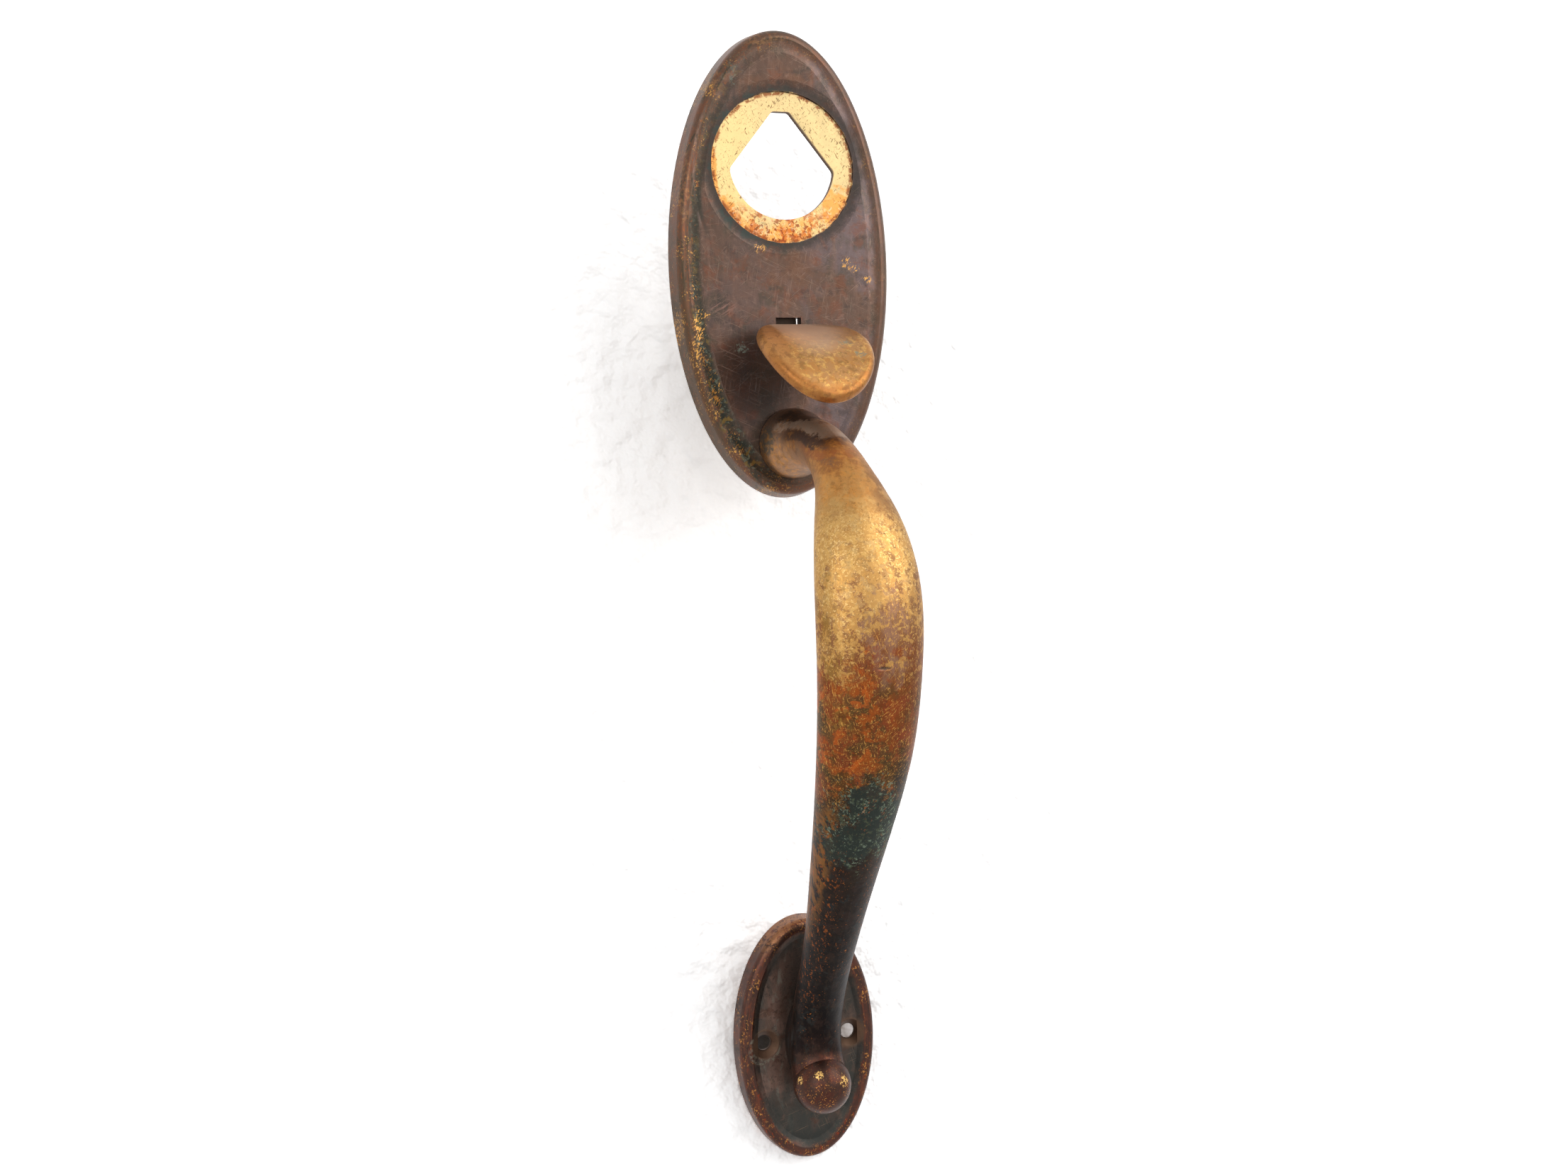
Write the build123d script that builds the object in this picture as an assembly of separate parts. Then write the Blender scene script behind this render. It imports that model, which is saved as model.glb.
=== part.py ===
from build123d import *
import math
import os

# Outside half of an entrance door handle: an upper plate with a lock cylinder seat and a thumb latch, a
# curved grip, and a lower rose. Millimetres. The origin is the centre of the upper plate on the door's face,
# with +X to the right as seen from outside, +Y into the door and +Z up. A depth is a distance from the
# door's face outwards, along -Y.

# Upper plate: a hollow-backed oval casting
PLATE_WIDTH = 68.5
PLATE_HEIGHT = 140.0
PLATE_DEPTH = 8.6
PLATE_WEB = 3.4
PLATE_RIM_WALL = 3.0
PLATE_DRAFT = 1.3
PLATE_EDGE_RADIUS = 3.4
CAVITY_CORNER_RADIUS = 1.5

# Shallow groove that sets the rolled rim off from the plate's field
RIM_GROOVE_INSET = 5.8
RIM_GROOVE_RADIUS = 6.0
RIM_GROOVE_DEPTH = 0.4

# Lock cylinder seat: a round recess with a teardrop hole
SEAT_FROM_TOP = 41.6
SEAT_RADIUS = 22.4
SEAT_DEPTH = 1.0
SEAT_SHOULDER_WIDTH = 3.4
SEAT_SHOULDER_DEPTH = 0.35
TEARDROP_RADIUS = 16.7
TEARDROP_RISE = 1.35
TEARDROP_FLAT_OFFSET = 12.5
TEARDROP_FLAT_ANGLE = 51.3
TEARDROP_TOP = 16.6
TEARDROP_SIDE_CORNER = 2.2
TEARDROP_TOP_CORNER = 1.6

# Tapped posts for the bolts that come through the door
POST_SPACING = 44.0
POST_DIAMETER = 9.0
POST_HOLE_DIAMETER = 3.5

# Grip: its boss on the plate, the bends of its centre line and its ball tip
BOSS_FROM_BOTTOM = 16.2
BOSS_DIAMETER = 21.2
BOSS_EDGE_CHAMFER = 0.4
GRIP_SPAN = 183.3
ELBOW_RADIUS = 0.237 * GRIP_SPAN
ELBOW_ANGLE = 53.0
SHOULDER_RADIUS = 0.295 * GRIP_SPAN
BACK_RADIUS = 0.578 * GRIP_SPAN
LEAN_ANGLE = 29.0
HEEL_RADIUS = 0.17 * GRIP_SPAN
KICK_RADIUS = 14.0
KICK_ANGLE = 48.0
TIP_RADIUS = 8.8
TIP_NECK_RADIUS = TIP_RADIUS - 0.05

# Section of the grip along its centre line: share of its length, width and thickness
GRIP_SECTIONS = (
    (0.014, 20.8, 20.8),
    (0.028, 19.2, 19.2),
    (0.045, 16.2, 16.4),
    (0.07, 14.2, 14.6),
    (0.10, 13.7, 14.0),
    (0.14, 14.6, 13.8),
    (0.19, 17.9, 14.4),
    (0.225, 22.3, 15.8),
    (0.26, 26.3, 17.4),
    (0.33, 30.2, 19.6),
    (0.41, 29.8, 20.6),
    (0.50, 27.8, 20.2),
    (0.60, 23.5, 18.8),
    (0.70, 18.9, 16.8),
    (0.80, 15.5, 14.6),
    (0.88, 15.2, 13.4),
    (0.95, 15.8, 13.8),
)

# Foot of the grip on the rose
FOOT_WIDTH = 15.0
FOOT_HEIGHT = 28.0
FOOT_AXIS_RISE = 7.0

# Lower rose: a hollow-backed oval casting with a dished field
ROSE_WIDTH = 45.0
ROSE_HEIGHT = 76.0
ROSE_DEPTH = 6.3
ROSE_DRAFT = 0.8
ROSE_EDGE_RADIUS = 2.4
ROSE_RIM_WIDTH = 4.0
ROSE_DISH_SLOPE = 2.2
ROSE_DISH_DEPTH = 1.0
ROSE_WEB = 3.0
ROSE_RIM_WALL = 3.0
ROSE_SCREW_SPACING = 27.6
ROSE_SCREW_HOLE_DIAMETER = 4.6
ROSE_SCREW_HEAD_DIAMETER = 8.5
SCREW_HEAD_ANGLE = 82.0
ROSE_PAD_DIAMETER = 17.0

# Thumb lever: pivot, shank in the slot, curved thumb piece and tail
PIVOT_ABOVE_BOSS = 32.7
PIVOT_DEPTH = 3.2
PIN_DIAMETER = 3.2
SHANK_WIDTH = 7.4
SHANK_THICKNESS = 5.0
HUB_RADIUS = SHANK_THICKNESS / 2 + 0.6
SHIELD_RISE = 6.2
SHIELD_THICKNESS = 1.8
THUMB_CREST_REACH = 2.2
THUMB_CREST_RADIUS = 39.0
THUMB_THICKNESS = 3.6
THUMB_REAR_REACH = 1.4
THUMB_TIP_REACH = 32.0
THUMB_TIP_DROP = 29.5
THUMB_WIDTH = 33.4
THUMB_FRONT_LENGTH = 21.5
THUMB_REAR_LENGTH = 19.5
THUMB_UPPER_EDGE_RADIUS = 2.0
THUMB_LOWER_EDGE_RADIUS = 1.1
TAIL_WIDTH = 6.0
TAIL_LENGTH = 38.0
TAIL_RISE = 8.0
TAIL_TIP_THICKNESS = 3.0
LIFT_ANGLE = 20.0

# Lugs that hold the pivot pin, cast on the back of the plate
LUG_THICKNESS = 3.0
LUG_RADIUS = 3.2
PIN_HEAD_LENGTH = 0.6
PIN_HEAD_CHAMFER = 0.4

# Fixings of the grip
BOSS_SCREW_DIAMETER = 6.35
BOSS_SCREW_HEAD_DIAMETER = 10.4
BOSS_SCREW_HEAD_HEIGHT = 3.2
BOSS_SCREW_GRIP = 11.0
BOSS_WASHER_DIAMETER = 13.0
BOSS_WASHER_THICKNESS = 1.2
FOOT_SCREW_DIAMETER = 4.8
FOOT_SCREW_HEAD_DIAMETER = 9.4
FOOT_SCREW_GRIP = 7.5
SCREW_SLOT_WIDTH = 1.2
SCREW_SLOT_DEPTH = 1.2
TAPPED_HOLE_RUNOUT = 1.5

# Clearances
SLOT_SIDE_CLEARANCE = 0.3
SLOT_END_CLEARANCE = 0.3
SHIELD_CLEARANCE = 0.3
LUG_CLEARANCE = 0.25
PIN_RUNNING_CLEARANCE = 0.05
SCREW_HOLE_CLEARANCE = 0.25
THREAD_CLEARANCE = 0.03
HEAD_CLEARANCE = 0.05

# Places worked out from the sizes above
SEAT_Z = PLATE_HEIGHT / 2 - SEAT_FROM_TOP
BOSS_Z = BOSS_FROM_BOTTOM - PLATE_HEIGHT / 2
ROSE_Z = BOSS_Z - GRIP_SPAN
PIVOT_Z = BOSS_Z + PIVOT_ABOVE_BOSS
CAVITY_DEPTH = PLATE_DEPTH - PLATE_WEB
ROSE_FIELD_DEPTH = ROSE_DEPTH - ROSE_DISH_DEPTH
ROSE_CAVITY_DEPTH = ROSE_FIELD_DEPTH - ROSE_WEB
FOOT_AXIS_DEPTH = ROSE_FIELD_DEPTH + FOOT_AXIS_RISE

# FRONT has X to the right and Z up, and its normal points out of the door. In SIDE the first direction is
# the depth and the second is Z.
FRONT = Plane(origin=(0, 0, 0), x_dir=(1, 0, 0), z_dir=(0, -1, 0))
SIDE = Plane(origin=(0, 0, 0), x_dir=(0, -1, 0), z_dir=(-1, 0, 0))


def on_front(depth, x=0.0, z=0.0):
    """Plane parallel to the door's face at a depth, centred on a point of it."""
    return FRONT.offset(depth) * Pos(x, z)


def rod(diameter, start_depth, end_depth, x=0.0, z=0.0):
    """Cylinder square to the door's face, from one depth out to another."""
    return extrude(on_front(start_depth, x, z) * Circle(diameter / 2), end_depth - start_depth)


def across(profile, width):
    """Profile drawn in SIDE, extruded across the handle and centred on it."""
    return Pos(width / 2, 0, 0) * extrude(SIDE * profile, width)


def oval_dome(width, height, depth, draft, edge_radius, z=0.0):
    """Oval block that stands on the door's face, with drafted sides and a rounded front edge."""
    foot = on_front(0, 0, z) * Ellipse(width / 2, height / 2)
    top = on_front(depth, 0, z) * Ellipse(width / 2 - draft, height / 2 - draft)
    block = Part() + loft([foot, top], ruled=True)
    front_edge = block.faces().sort_by(Axis.Y)[0].edges()
    return fillet(front_edge, edge_radius)


def countersink(hole_diameter, head_diameter, head_depth, inward, x=0.0, z=0.0):
    """Cone of a flat screw head whose wide end is at head_depth; inward says that it narrows towards +Y."""
    height = (head_diameter - hole_diameter) / 2 / math.tan(math.radians(SCREW_HEAD_ANGLE / 2))
    narrow_depth = head_depth - height if inward else head_depth + height
    wide = on_front(head_depth, x, z) * Circle(head_diameter / 2)
    narrow = on_front(narrow_depth, x, z) * Circle(hole_diameter / 2)
    return Part() + loft([wide, narrow], ruled=True)


def teardrop():
    """Outline of the cylinder hole: a circle cut by two sloping flats that meet under a small flat top."""
    angle = math.radians(TEARDROP_FLAT_ANGLE)
    reach = TEARDROP_RADIUS * 1.5
    top_half = (TEARDROP_FLAT_OFFSET - TEARDROP_TOP * math.cos(angle)) / math.sin(angle)
    side_z = (TEARDROP_FLAT_OFFSET - reach * math.sin(angle)) / math.cos(angle)
    roof = Polygon(
        (-reach, -reach),
        (reach, -reach),
        (reach, side_z),
        (top_half, TEARDROP_TOP),
        (-top_half, TEARDROP_TOP),
        (-reach, side_z),
        align=None,
    )
    outline = Pos(0, TEARDROP_RISE) * Circle(TEARDROP_RADIUS) & roof
    corners = outline.vertices().sort_by(Axis.Y)
    outline = fillet(corners[-2:], TEARDROP_TOP_CORNER)
    side_corners = outline.vertices().group_by(Axis.X)
    return fillet([side_corners[0][0], side_corners[-1][0]], TEARDROP_SIDE_CORNER)


def slot_limits():
    """Lowest and highest point of the slot, which stop the shank when it droops and when it is lifted."""
    half = SHANK_THICKNESS / 2
    lift = math.radians(LIFT_ANGLE)
    arm = PLATE_DEPTH - PIVOT_DEPTH
    lifted_top = PIVOT_Z + arm * math.tan(lift) + half / math.cos(lift)
    return PIVOT_Z - half - SLOT_END_CLEARANCE, lifted_top + SLOT_END_CLEARANCE


def pivot_lug(side):
    """Lug beside the slot, round about the pin and cast on to the plate's web."""
    inner = SHANK_WIDTH / 2 + LUG_CLEARANCE
    web_depth = CAVITY_DEPTH + PLATE_WEB / 2
    cheek = Pos(PIVOT_DEPTH, PIVOT_Z) * Circle(LUG_RADIUS)
    root = Pos((PIVOT_DEPTH + web_depth) / 2, PIVOT_Z) * Rectangle(web_depth - PIVOT_DEPTH, 2 * LUG_RADIUS)
    return Pos(side * (inner + LUG_THICKNESS / 2), 0, 0) * across(cheek + root, LUG_THICKNESS)


def pin_length():
    """Length of the pivot pin, a little proud of the lugs at each end."""
    return SHANK_WIDTH + 2 * (LUG_CLEARANCE + LUG_THICKNESS + PIN_HEAD_LENGTH)


def pin_rod(diameter, length):
    """Cylinder on the pivot's axis, centred on the lever."""
    return across(Pos(PIVOT_DEPTH, PIVOT_Z) * Circle(diameter / 2), length)


def upper_plate():
    """Oval plate with its rim, cylinder seat, slot, lugs and posts, all one casting."""
    plate = oval_dome(PLATE_WIDTH, PLATE_HEIGHT, PLATE_DEPTH, PLATE_DRAFT, PLATE_EDGE_RADIUS)
    plate -= oval_dome(
        PLATE_WIDTH - 2 * PLATE_RIM_WALL,
        PLATE_HEIGHT - 2 * PLATE_RIM_WALL,
        CAVITY_DEPTH,
        PLATE_DRAFT,
        CAVITY_CORNER_RADIUS,
    )
    plate -= rim_groove()
    plate -= seat_shoulder()
    for side in (-1, 1):
        x = side * POST_SPACING / 2
        plate += rod(POST_DIAMETER, 0, CAVITY_DEPTH + PLATE_WEB / 2, x)
        plate += pivot_lug(side)
    for side in (-1, 1):
        x = side * POST_SPACING / 2
        plate -= rod(POST_HOLE_DIAMETER, 0, CAVITY_DEPTH + PLATE_WEB / 2, x)
    plate -= rod(2 * SEAT_RADIUS, PLATE_DEPTH - SEAT_DEPTH, PLATE_DEPTH + SEAT_DEPTH, 0, SEAT_Z)
    plate -= extrude(on_front(0, 0, SEAT_Z) * teardrop(), PLATE_DEPTH)
    slot_low, slot_high = slot_limits()
    slot_width = SHANK_WIDTH + 2 * SLOT_SIDE_CLEARANCE
    slot = on_front(0, 0, (slot_low + slot_high) / 2) * Rectangle(slot_width, slot_high - slot_low)
    plate -= extrude(slot, PLATE_DEPTH)
    plate -= rod(BOSS_SCREW_DIAMETER + 2 * SCREW_HOLE_CLEARANCE, 0, PLATE_DEPTH, 0, BOSS_Z)
    plate -= pin_rod(PIN_DIAMETER, pin_length())
    return plate


def rim_groove():
    """Shallow round-bottomed groove that follows the rim."""
    centre_depth = PLATE_DEPTH + RIM_GROOVE_RADIUS - RIM_GROOVE_DEPTH
    path = on_front(centre_depth) * Ellipse(
        PLATE_WIDTH / 2 - RIM_GROOVE_INSET, PLATE_HEIGHT / 2 - RIM_GROOVE_INSET
    )
    route = path.edges()[0]
    section = Plane(origin=route @ 0, z_dir=route % 0) * Circle(RIM_GROOVE_RADIUS)
    return sweep(section, path=route)


def seat_shoulder():
    """Soft dished ring round the cylinder seat, deepest at the seat's edge."""
    level = Plane(origin=(0, 0, SEAT_Z), x_dir=(1, 0, 0), z_dir=(0, 0, 1))
    outer = SEAT_RADIUS + SEAT_SHOULDER_WIDTH
    inner = SEAT_RADIUS - SEAT_SHOULDER_WIDTH
    front = -PLATE_DEPTH
    dish = ThreePointArc((inner, front), (SEAT_RADIUS, front + SEAT_SHOULDER_DEPTH), (outer, front))
    rim = [Line((outer, front), (outer, front - 1)), Line((outer, front - 1), (inner, front - 1))]
    profile = make_face(Curve() + [dish, *rim, Line((inner, front - 1), (inner, front))])
    return revolve(level * profile, Axis((0, 0, SEAT_Z), (0, 1, 0)))


def lower_rose():
    """Oval rose with a rolled rim, a dished field, two countersunk holes and a pad for the grip's screw."""
    rose = oval_dome(ROSE_WIDTH, ROSE_HEIGHT, ROSE_DEPTH, ROSE_DRAFT, ROSE_EDGE_RADIUS, ROSE_Z)
    rim = ROSE_RIM_WIDTH
    mouth = on_front(ROSE_DEPTH, 0, ROSE_Z) * Ellipse(ROSE_WIDTH / 2 - rim, ROSE_HEIGHT / 2 - rim)
    inner = rim + ROSE_DISH_SLOPE
    floor = on_front(ROSE_FIELD_DEPTH, 0, ROSE_Z) * Ellipse(ROSE_WIDTH / 2 - inner, ROSE_HEIGHT / 2 - inner)
    rose -= loft([floor, mouth], ruled=True)
    rose -= oval_dome(
        ROSE_WIDTH - 2 * ROSE_RIM_WALL,
        ROSE_HEIGHT - 2 * ROSE_RIM_WALL,
        ROSE_CAVITY_DEPTH,
        ROSE_DRAFT,
        ROSE_CAVITY_DEPTH / 2,
        ROSE_Z,
    )
    rose += rod(ROSE_PAD_DIAMETER, 0, ROSE_CAVITY_DEPTH + ROSE_WEB / 2, 0, ROSE_Z)
    for side in (-1, 1):
        x = side * ROSE_SCREW_SPACING / 2
        rose -= rod(ROSE_SCREW_HOLE_DIAMETER, 0, ROSE_DEPTH, x, ROSE_Z)
        rose -= countersink(
            ROSE_SCREW_HOLE_DIAMETER, ROSE_SCREW_HEAD_DIAMETER, ROSE_FIELD_DEPTH, True, x, ROSE_Z
        )
    hole = FOOT_SCREW_DIAMETER + 2 * SCREW_HOLE_CLEARANCE
    rose -= rod(hole, 0, ROSE_DEPTH, 0, ROSE_Z)
    rose -= countersink(hole, FOOT_SCREW_HEAD_DIAMETER + 2 * HEAD_CLEARANCE, 0, False, 0, ROSE_Z)
    return rose


def grip_centre_line():
    """Centre line of the grip in SIDE: out of the plate, over the elbow, down to the rose and out again."""
    lean = math.radians(LEAN_ANGLE)
    bend = math.radians(ELBOW_ANGLE)
    elbow_drop = ELBOW_RADIUS * (1 - math.cos(bend)) + SHOULDER_RADIUS * math.cos(bend)
    elbow_reach = ELBOW_RADIUS * math.sin(bend) + SHOULDER_RADIUS * (1 - math.sin(bend))
    curved_drop = elbow_drop + (BACK_RADIUS + HEEL_RADIUS) * math.sin(lean)
    slant = (GRIP_SPAN - curved_drop) / math.cos(lean)
    inward = (BACK_RADIUS + HEEL_RADIUS) * (1 - math.cos(lean)) + slant * math.sin(lean)
    elbow_start = FOOT_AXIS_DEPTH + inward - elbow_reach
    neck = Line((PLATE_DEPTH, BOSS_Z), (elbow_start, BOSS_Z))
    elbow = JernArc(neck @ 1, neck % 1, ELBOW_RADIUS, -ELBOW_ANGLE)
    shoulder = JernArc(elbow @ 1, elbow % 1, SHOULDER_RADIUS, ELBOW_ANGLE - 90)
    back = JernArc(shoulder @ 1, shoulder % 1, BACK_RADIUS, -LEAN_ANGLE)
    slope = Line(back @ 1, back @ 1 + (back % 1) * slant)
    heel = JernArc(slope @ 1, slope % 1, HEEL_RADIUS, LEAN_ANGLE)
    kick = JernArc(heel @ 1, heel % 1, KICK_RADIUS, KICK_ANGLE)
    return SIDE * Wire([neck, elbow, shoulder, back, slope, heel, kick])


def grip_section(route, share, width, thickness):
    """Oval section of the grip, square to its centre line."""
    place = route.length * share
    point = route.position_at(place, position_mode=PositionMode.LENGTH)
    heading = route.tangent_at(place, position_mode=PositionMode.LENGTH)
    return Plane(origin=point, x_dir=(1, 0, 0), z_dir=heading) * Ellipse(width / 2, thickness / 2)


def grip():
    """Curved pull with a round boss at the top, an oval swelling, a foot for the rose and a ball tip."""
    route = grip_centre_line()
    sections = [grip_section(route, 0, BOSS_DIAMETER, BOSS_DIAMETER)]
    for share, width, thickness in GRIP_SECTIONS:
        sections.append(grip_section(route, share, width, thickness))
    sections.append(grip_section(route, 1, 2 * TIP_NECK_RADIUS, 2 * TIP_NECK_RADIUS))
    body = Part() + loft(sections)
    boss_edge = body.faces().sort_by(Axis.Y)[-1].edges()
    body = chamfer(boss_edge, BOSS_EDGE_CHAMFER)
    tip = route.position_at(1)
    body += Pos(tip.X, tip.Y, tip.Z) * Sphere(TIP_RADIUS)
    foot_low = on_front(ROSE_FIELD_DEPTH, 0, ROSE_Z) * Ellipse(FOOT_WIDTH / 2, FOOT_HEIGHT / 2)
    body += extrude(foot_low, FOOT_AXIS_RISE)
    boss_hole = BOSS_SCREW_DIAMETER + 2 * THREAD_CLEARANCE
    boss_hole_end = PLATE_DEPTH + BOSS_SCREW_GRIP + TAPPED_HOLE_RUNOUT
    body -= rod(boss_hole, PLATE_DEPTH, boss_hole_end, 0, BOSS_Z)
    foot_hole = FOOT_SCREW_DIAMETER + 2 * THREAD_CLEARANCE
    foot_hole_end = ROSE_FIELD_DEPTH + FOOT_SCREW_GRIP + TAPPED_HOLE_RUNOUT
    body -= rod(foot_hole, ROSE_FIELD_DEPTH, foot_hole_end, 0, ROSE_Z)
    return body


def from_slot(reach, drop):
    """Point of SIDE at a reach outwards from the plate's front and a drop below the shank's upper face."""
    return Vector(PLATE_DEPTH + reach, PIVOT_Z + SHANK_THICKNESS / 2 - drop)


def thumb_shell():
    """Thick curved strip that the thumb piece is cut from, level at its crest and falling outwards."""
    crest = from_slot(THUMB_CREST_REACH, THUMB_CREST_RADIUS)
    strip = Circle(THUMB_CREST_RADIUS) - Circle(THUMB_CREST_RADIUS - THUMB_THICKNESS)
    return across(Pos(crest.X, crest.Y) * strip, 2 * THUMB_WIDTH)


def thumb_plan():
    """Prism with the thumb piece's plan, square to its slope: two half ellipses, the rear one shorter."""
    rear = from_slot(THUMB_REAR_REACH, 0)
    tip = from_slot(THUMB_TIP_REACH, THUMB_TIP_DROP)
    chord = (tip - rear).normalized()
    front_half = Pos(0, THUMB_WIDTH) * Rectangle(2 * THUMB_WIDTH, 2 * THUMB_WIDTH)
    plan = Ellipse(THUMB_WIDTH / 2, THUMB_FRONT_LENGTH) & front_half
    plan += Ellipse(THUMB_WIDTH / 2, THUMB_REAR_LENGTH) - front_half
    widest = tip - chord * THUMB_FRONT_LENGTH
    forward = SIDE.from_local_coords(chord)
    square = Vector(1, 0, 0).cross(forward)
    origin = SIDE.from_local_coords(widest) - square * THUMB_WIDTH / 2
    return extrude(Plane(origin=origin, x_dir=(1, 0, 0), z_dir=square) * plan, THUMB_WIDTH)


def thumb_blade():
    """Thumb piece with its edges rounded all round."""
    blade = thumb_shell() & thumb_plan()
    upper_face = blade.faces().sort_by(SortBy.AREA)[-2:].sort_by(Axis.Z)[-1]
    blade = fillet(upper_face.edges(), THUMB_UPPER_EDGE_RADIUS)
    lower_face = blade.faces().sort_by(SortBy.AREA)[-2:].sort_by(Axis.Z)[0]
    return fillet(lower_face.edges(), THUMB_LOWER_EDGE_RADIUS)


def lever_shank():
    """Straight bar from the pivot to the back of the thumb piece, trimmed to the crest's curve."""
    end = PLATE_DEPTH + THUMB_REAR_REACH + THUMB_REAR_LENGTH / 2
    bar = Pos((PIVOT_DEPTH + end) / 2, PIVOT_Z) * Rectangle(end - PIVOT_DEPTH, SHANK_THICKNESS)
    crest = from_slot(THUMB_CREST_REACH, THUMB_CREST_RADIUS)
    trimmed = bar & Pos(crest.X, crest.Y) * Circle(THUMB_CREST_RADIUS)
    inner = Pos(PLATE_DEPTH / 2, PIVOT_Z) * Rectangle(PLATE_DEPTH, SHANK_THICKNESS) & bar
    return across(trimmed + inner, SHANK_WIDTH)


def slot_shield():
    """Upright plate on the shank, just behind the plate's web, that closes the slot."""
    middle = CAVITY_DEPTH - SHIELD_CLEARANCE - SHIELD_THICKNESS / 2
    upright = Pos(middle, PIVOT_Z + SHIELD_RISE / 2) * Rectangle(SHIELD_THICKNESS, SHIELD_RISE)
    return across(upright, SHANK_WIDTH)


def lever_tail():
    """Tapered tail that reaches into the door and rises a little towards its end."""
    rise = math.radians(TAIL_RISE)
    half = SHANK_THICKNESS / 2
    end_depth = PIVOT_DEPTH - TAIL_LENGTH
    end_z = PIVOT_Z + TAIL_LENGTH * math.tan(rise)
    tip = TAIL_TIP_THICKNESS / 2
    bar = Polygon(
        (PIVOT_DEPTH, PIVOT_Z - half),
        (PIVOT_DEPTH, PIVOT_Z + half),
        (end_depth, end_z + tip),
        (end_depth, end_z - tip),
        align=None,
    )
    return across(bar + Pos(end_depth, end_z) * Circle(tip), TAIL_WIDTH)


def thumb_lever():
    """Thumb piece, shank, slot shield, hub and tail in one casting, bored for the pivot pin."""
    lever = thumb_blade() + lever_shank() + slot_shield() + lever_tail()
    lever += pin_rod(2 * HUB_RADIUS, SHANK_WIDTH)
    return lever - pin_rod(PIN_DIAMETER + 2 * PIN_RUNNING_CLEARANCE, SHANK_WIDTH)


def pivot_pin():
    """Plain pin through both lugs, a little proud of them at each end."""
    pin = Part() + pin_rod(PIN_DIAMETER, pin_length())
    ends = pin.edges().filter_by(GeomType.CIRCLE)
    return chamfer(ends, PIN_HEAD_CHAMFER)


def screw_slot(head_depth, inner_depth, length, z):
    """Driver slot across a screw head."""
    outline = on_front(head_depth, 0, z) * Rectangle(length, SCREW_SLOT_WIDTH)
    return extrude(outline, inner_depth - head_depth)


def upper_grip_screw():
    """Slotted screw from behind through the washer and the plate into the grip's boss."""
    under_head = CAVITY_DEPTH - BOSS_WASHER_THICKNESS
    head_end = under_head - BOSS_SCREW_HEAD_HEIGHT
    screw = rod(BOSS_SCREW_HEAD_DIAMETER, head_end, under_head, 0, BOSS_Z)
    head_edge = screw.faces().sort_by(Axis.Y)[-1].edges()
    screw = fillet(head_edge, BOSS_SCREW_HEAD_HEIGHT / 3)
    screw += rod(BOSS_SCREW_DIAMETER, under_head, PLATE_DEPTH + BOSS_SCREW_GRIP, 0, BOSS_Z)
    return screw - screw_slot(head_end, head_end + SCREW_SLOT_DEPTH, BOSS_SCREW_HEAD_DIAMETER, BOSS_Z)


def upper_grip_washer():
    """Plain washer between that screw's head and the plate's web."""
    inner_face = CAVITY_DEPTH - BOSS_WASHER_THICKNESS
    washer = rod(BOSS_WASHER_DIAMETER, inner_face, CAVITY_DEPTH, 0, BOSS_Z)
    return washer - rod(BOSS_SCREW_DIAMETER + 2 * SCREW_HOLE_CLEARANCE, inner_face, CAVITY_DEPTH, 0, BOSS_Z)


def lower_grip_screw():
    """Flat-head screw from behind through the rose's pad into the grip's foot."""
    screw = countersink(FOOT_SCREW_DIAMETER, FOOT_SCREW_HEAD_DIAMETER, 0, False, 0, ROSE_Z)
    screw += rod(FOOT_SCREW_DIAMETER, 0, ROSE_FIELD_DEPTH + FOOT_SCREW_GRIP, 0, ROSE_Z)
    return screw - screw_slot(0, SCREW_SLOT_DEPTH, FOOT_SCREW_HEAD_DIAMETER, ROSE_Z)


PIECES = {
    "upper_plate": upper_plate,
    "grip": grip,
    "lower_rose": lower_rose,
    "thumb_lever": thumb_lever,
    "pivot_pin": pivot_pin,
    "upper_grip_screw": upper_grip_screw,
    "upper_grip_washer": upper_grip_washer,
    "lower_grip_screw": lower_grip_screw,
}

os.makedirs("parts", exist_ok=True)
for node, make_piece in PIECES.items():
    piece = make_piece()
    print(node, "volume", round(piece.volume, 1))
    export_step(piece, f"parts/{node}.step")
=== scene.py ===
"""Looks of an old cast bronze entrance door handle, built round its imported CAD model.

Places are in the model's own frame: +X to the right as seen from outside, +Y into the door and +Z up, from the
centre of the upper plate on the door's face. They are in millimetres in the finishes and in metres elsewhere.
"""

from __future__ import annotations

import logging
import math
from dataclasses import dataclass
from enum import Enum
from functools import partial, reduce
from typing import Optional, Sequence, Union

import bpy
from mathutils import Matrix, Vector


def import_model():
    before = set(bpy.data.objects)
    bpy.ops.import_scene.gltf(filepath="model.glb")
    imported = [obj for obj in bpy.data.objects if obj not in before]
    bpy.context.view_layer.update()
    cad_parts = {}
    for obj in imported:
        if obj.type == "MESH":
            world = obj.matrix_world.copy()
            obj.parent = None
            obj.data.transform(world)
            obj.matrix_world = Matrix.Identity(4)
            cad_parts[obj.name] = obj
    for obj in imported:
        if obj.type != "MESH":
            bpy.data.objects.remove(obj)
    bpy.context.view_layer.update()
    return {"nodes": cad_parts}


log = logging.getLogger("door_handle")

MM = 0.001
RIM_WALL = 3.2  # thickness in millimetres of the closed rims round the hollow backs
Socket = bpy.types.NodeSocket
Number = Union[float, Socket]
Colour = tuple[float, float, float]
Point = tuple[float, float, float]


def hue(red: int, green: int, blue: int) -> Colour:
    """A colour as it is seen, 0 to 255, turned into the linear values that shaders use.

    Args:
        red, green, blue: the seen colour's parts.

    Returns:
        The three linear parts.
    """

    def linear(part: int) -> float:
        """One part of the colour."""
        value = part / 255
        return value / 12.92 if value <= 0.04045 else ((value + 0.055) / 1.055) ** 2.4

    return linear(red), linear(green), linear(blue)


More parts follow.
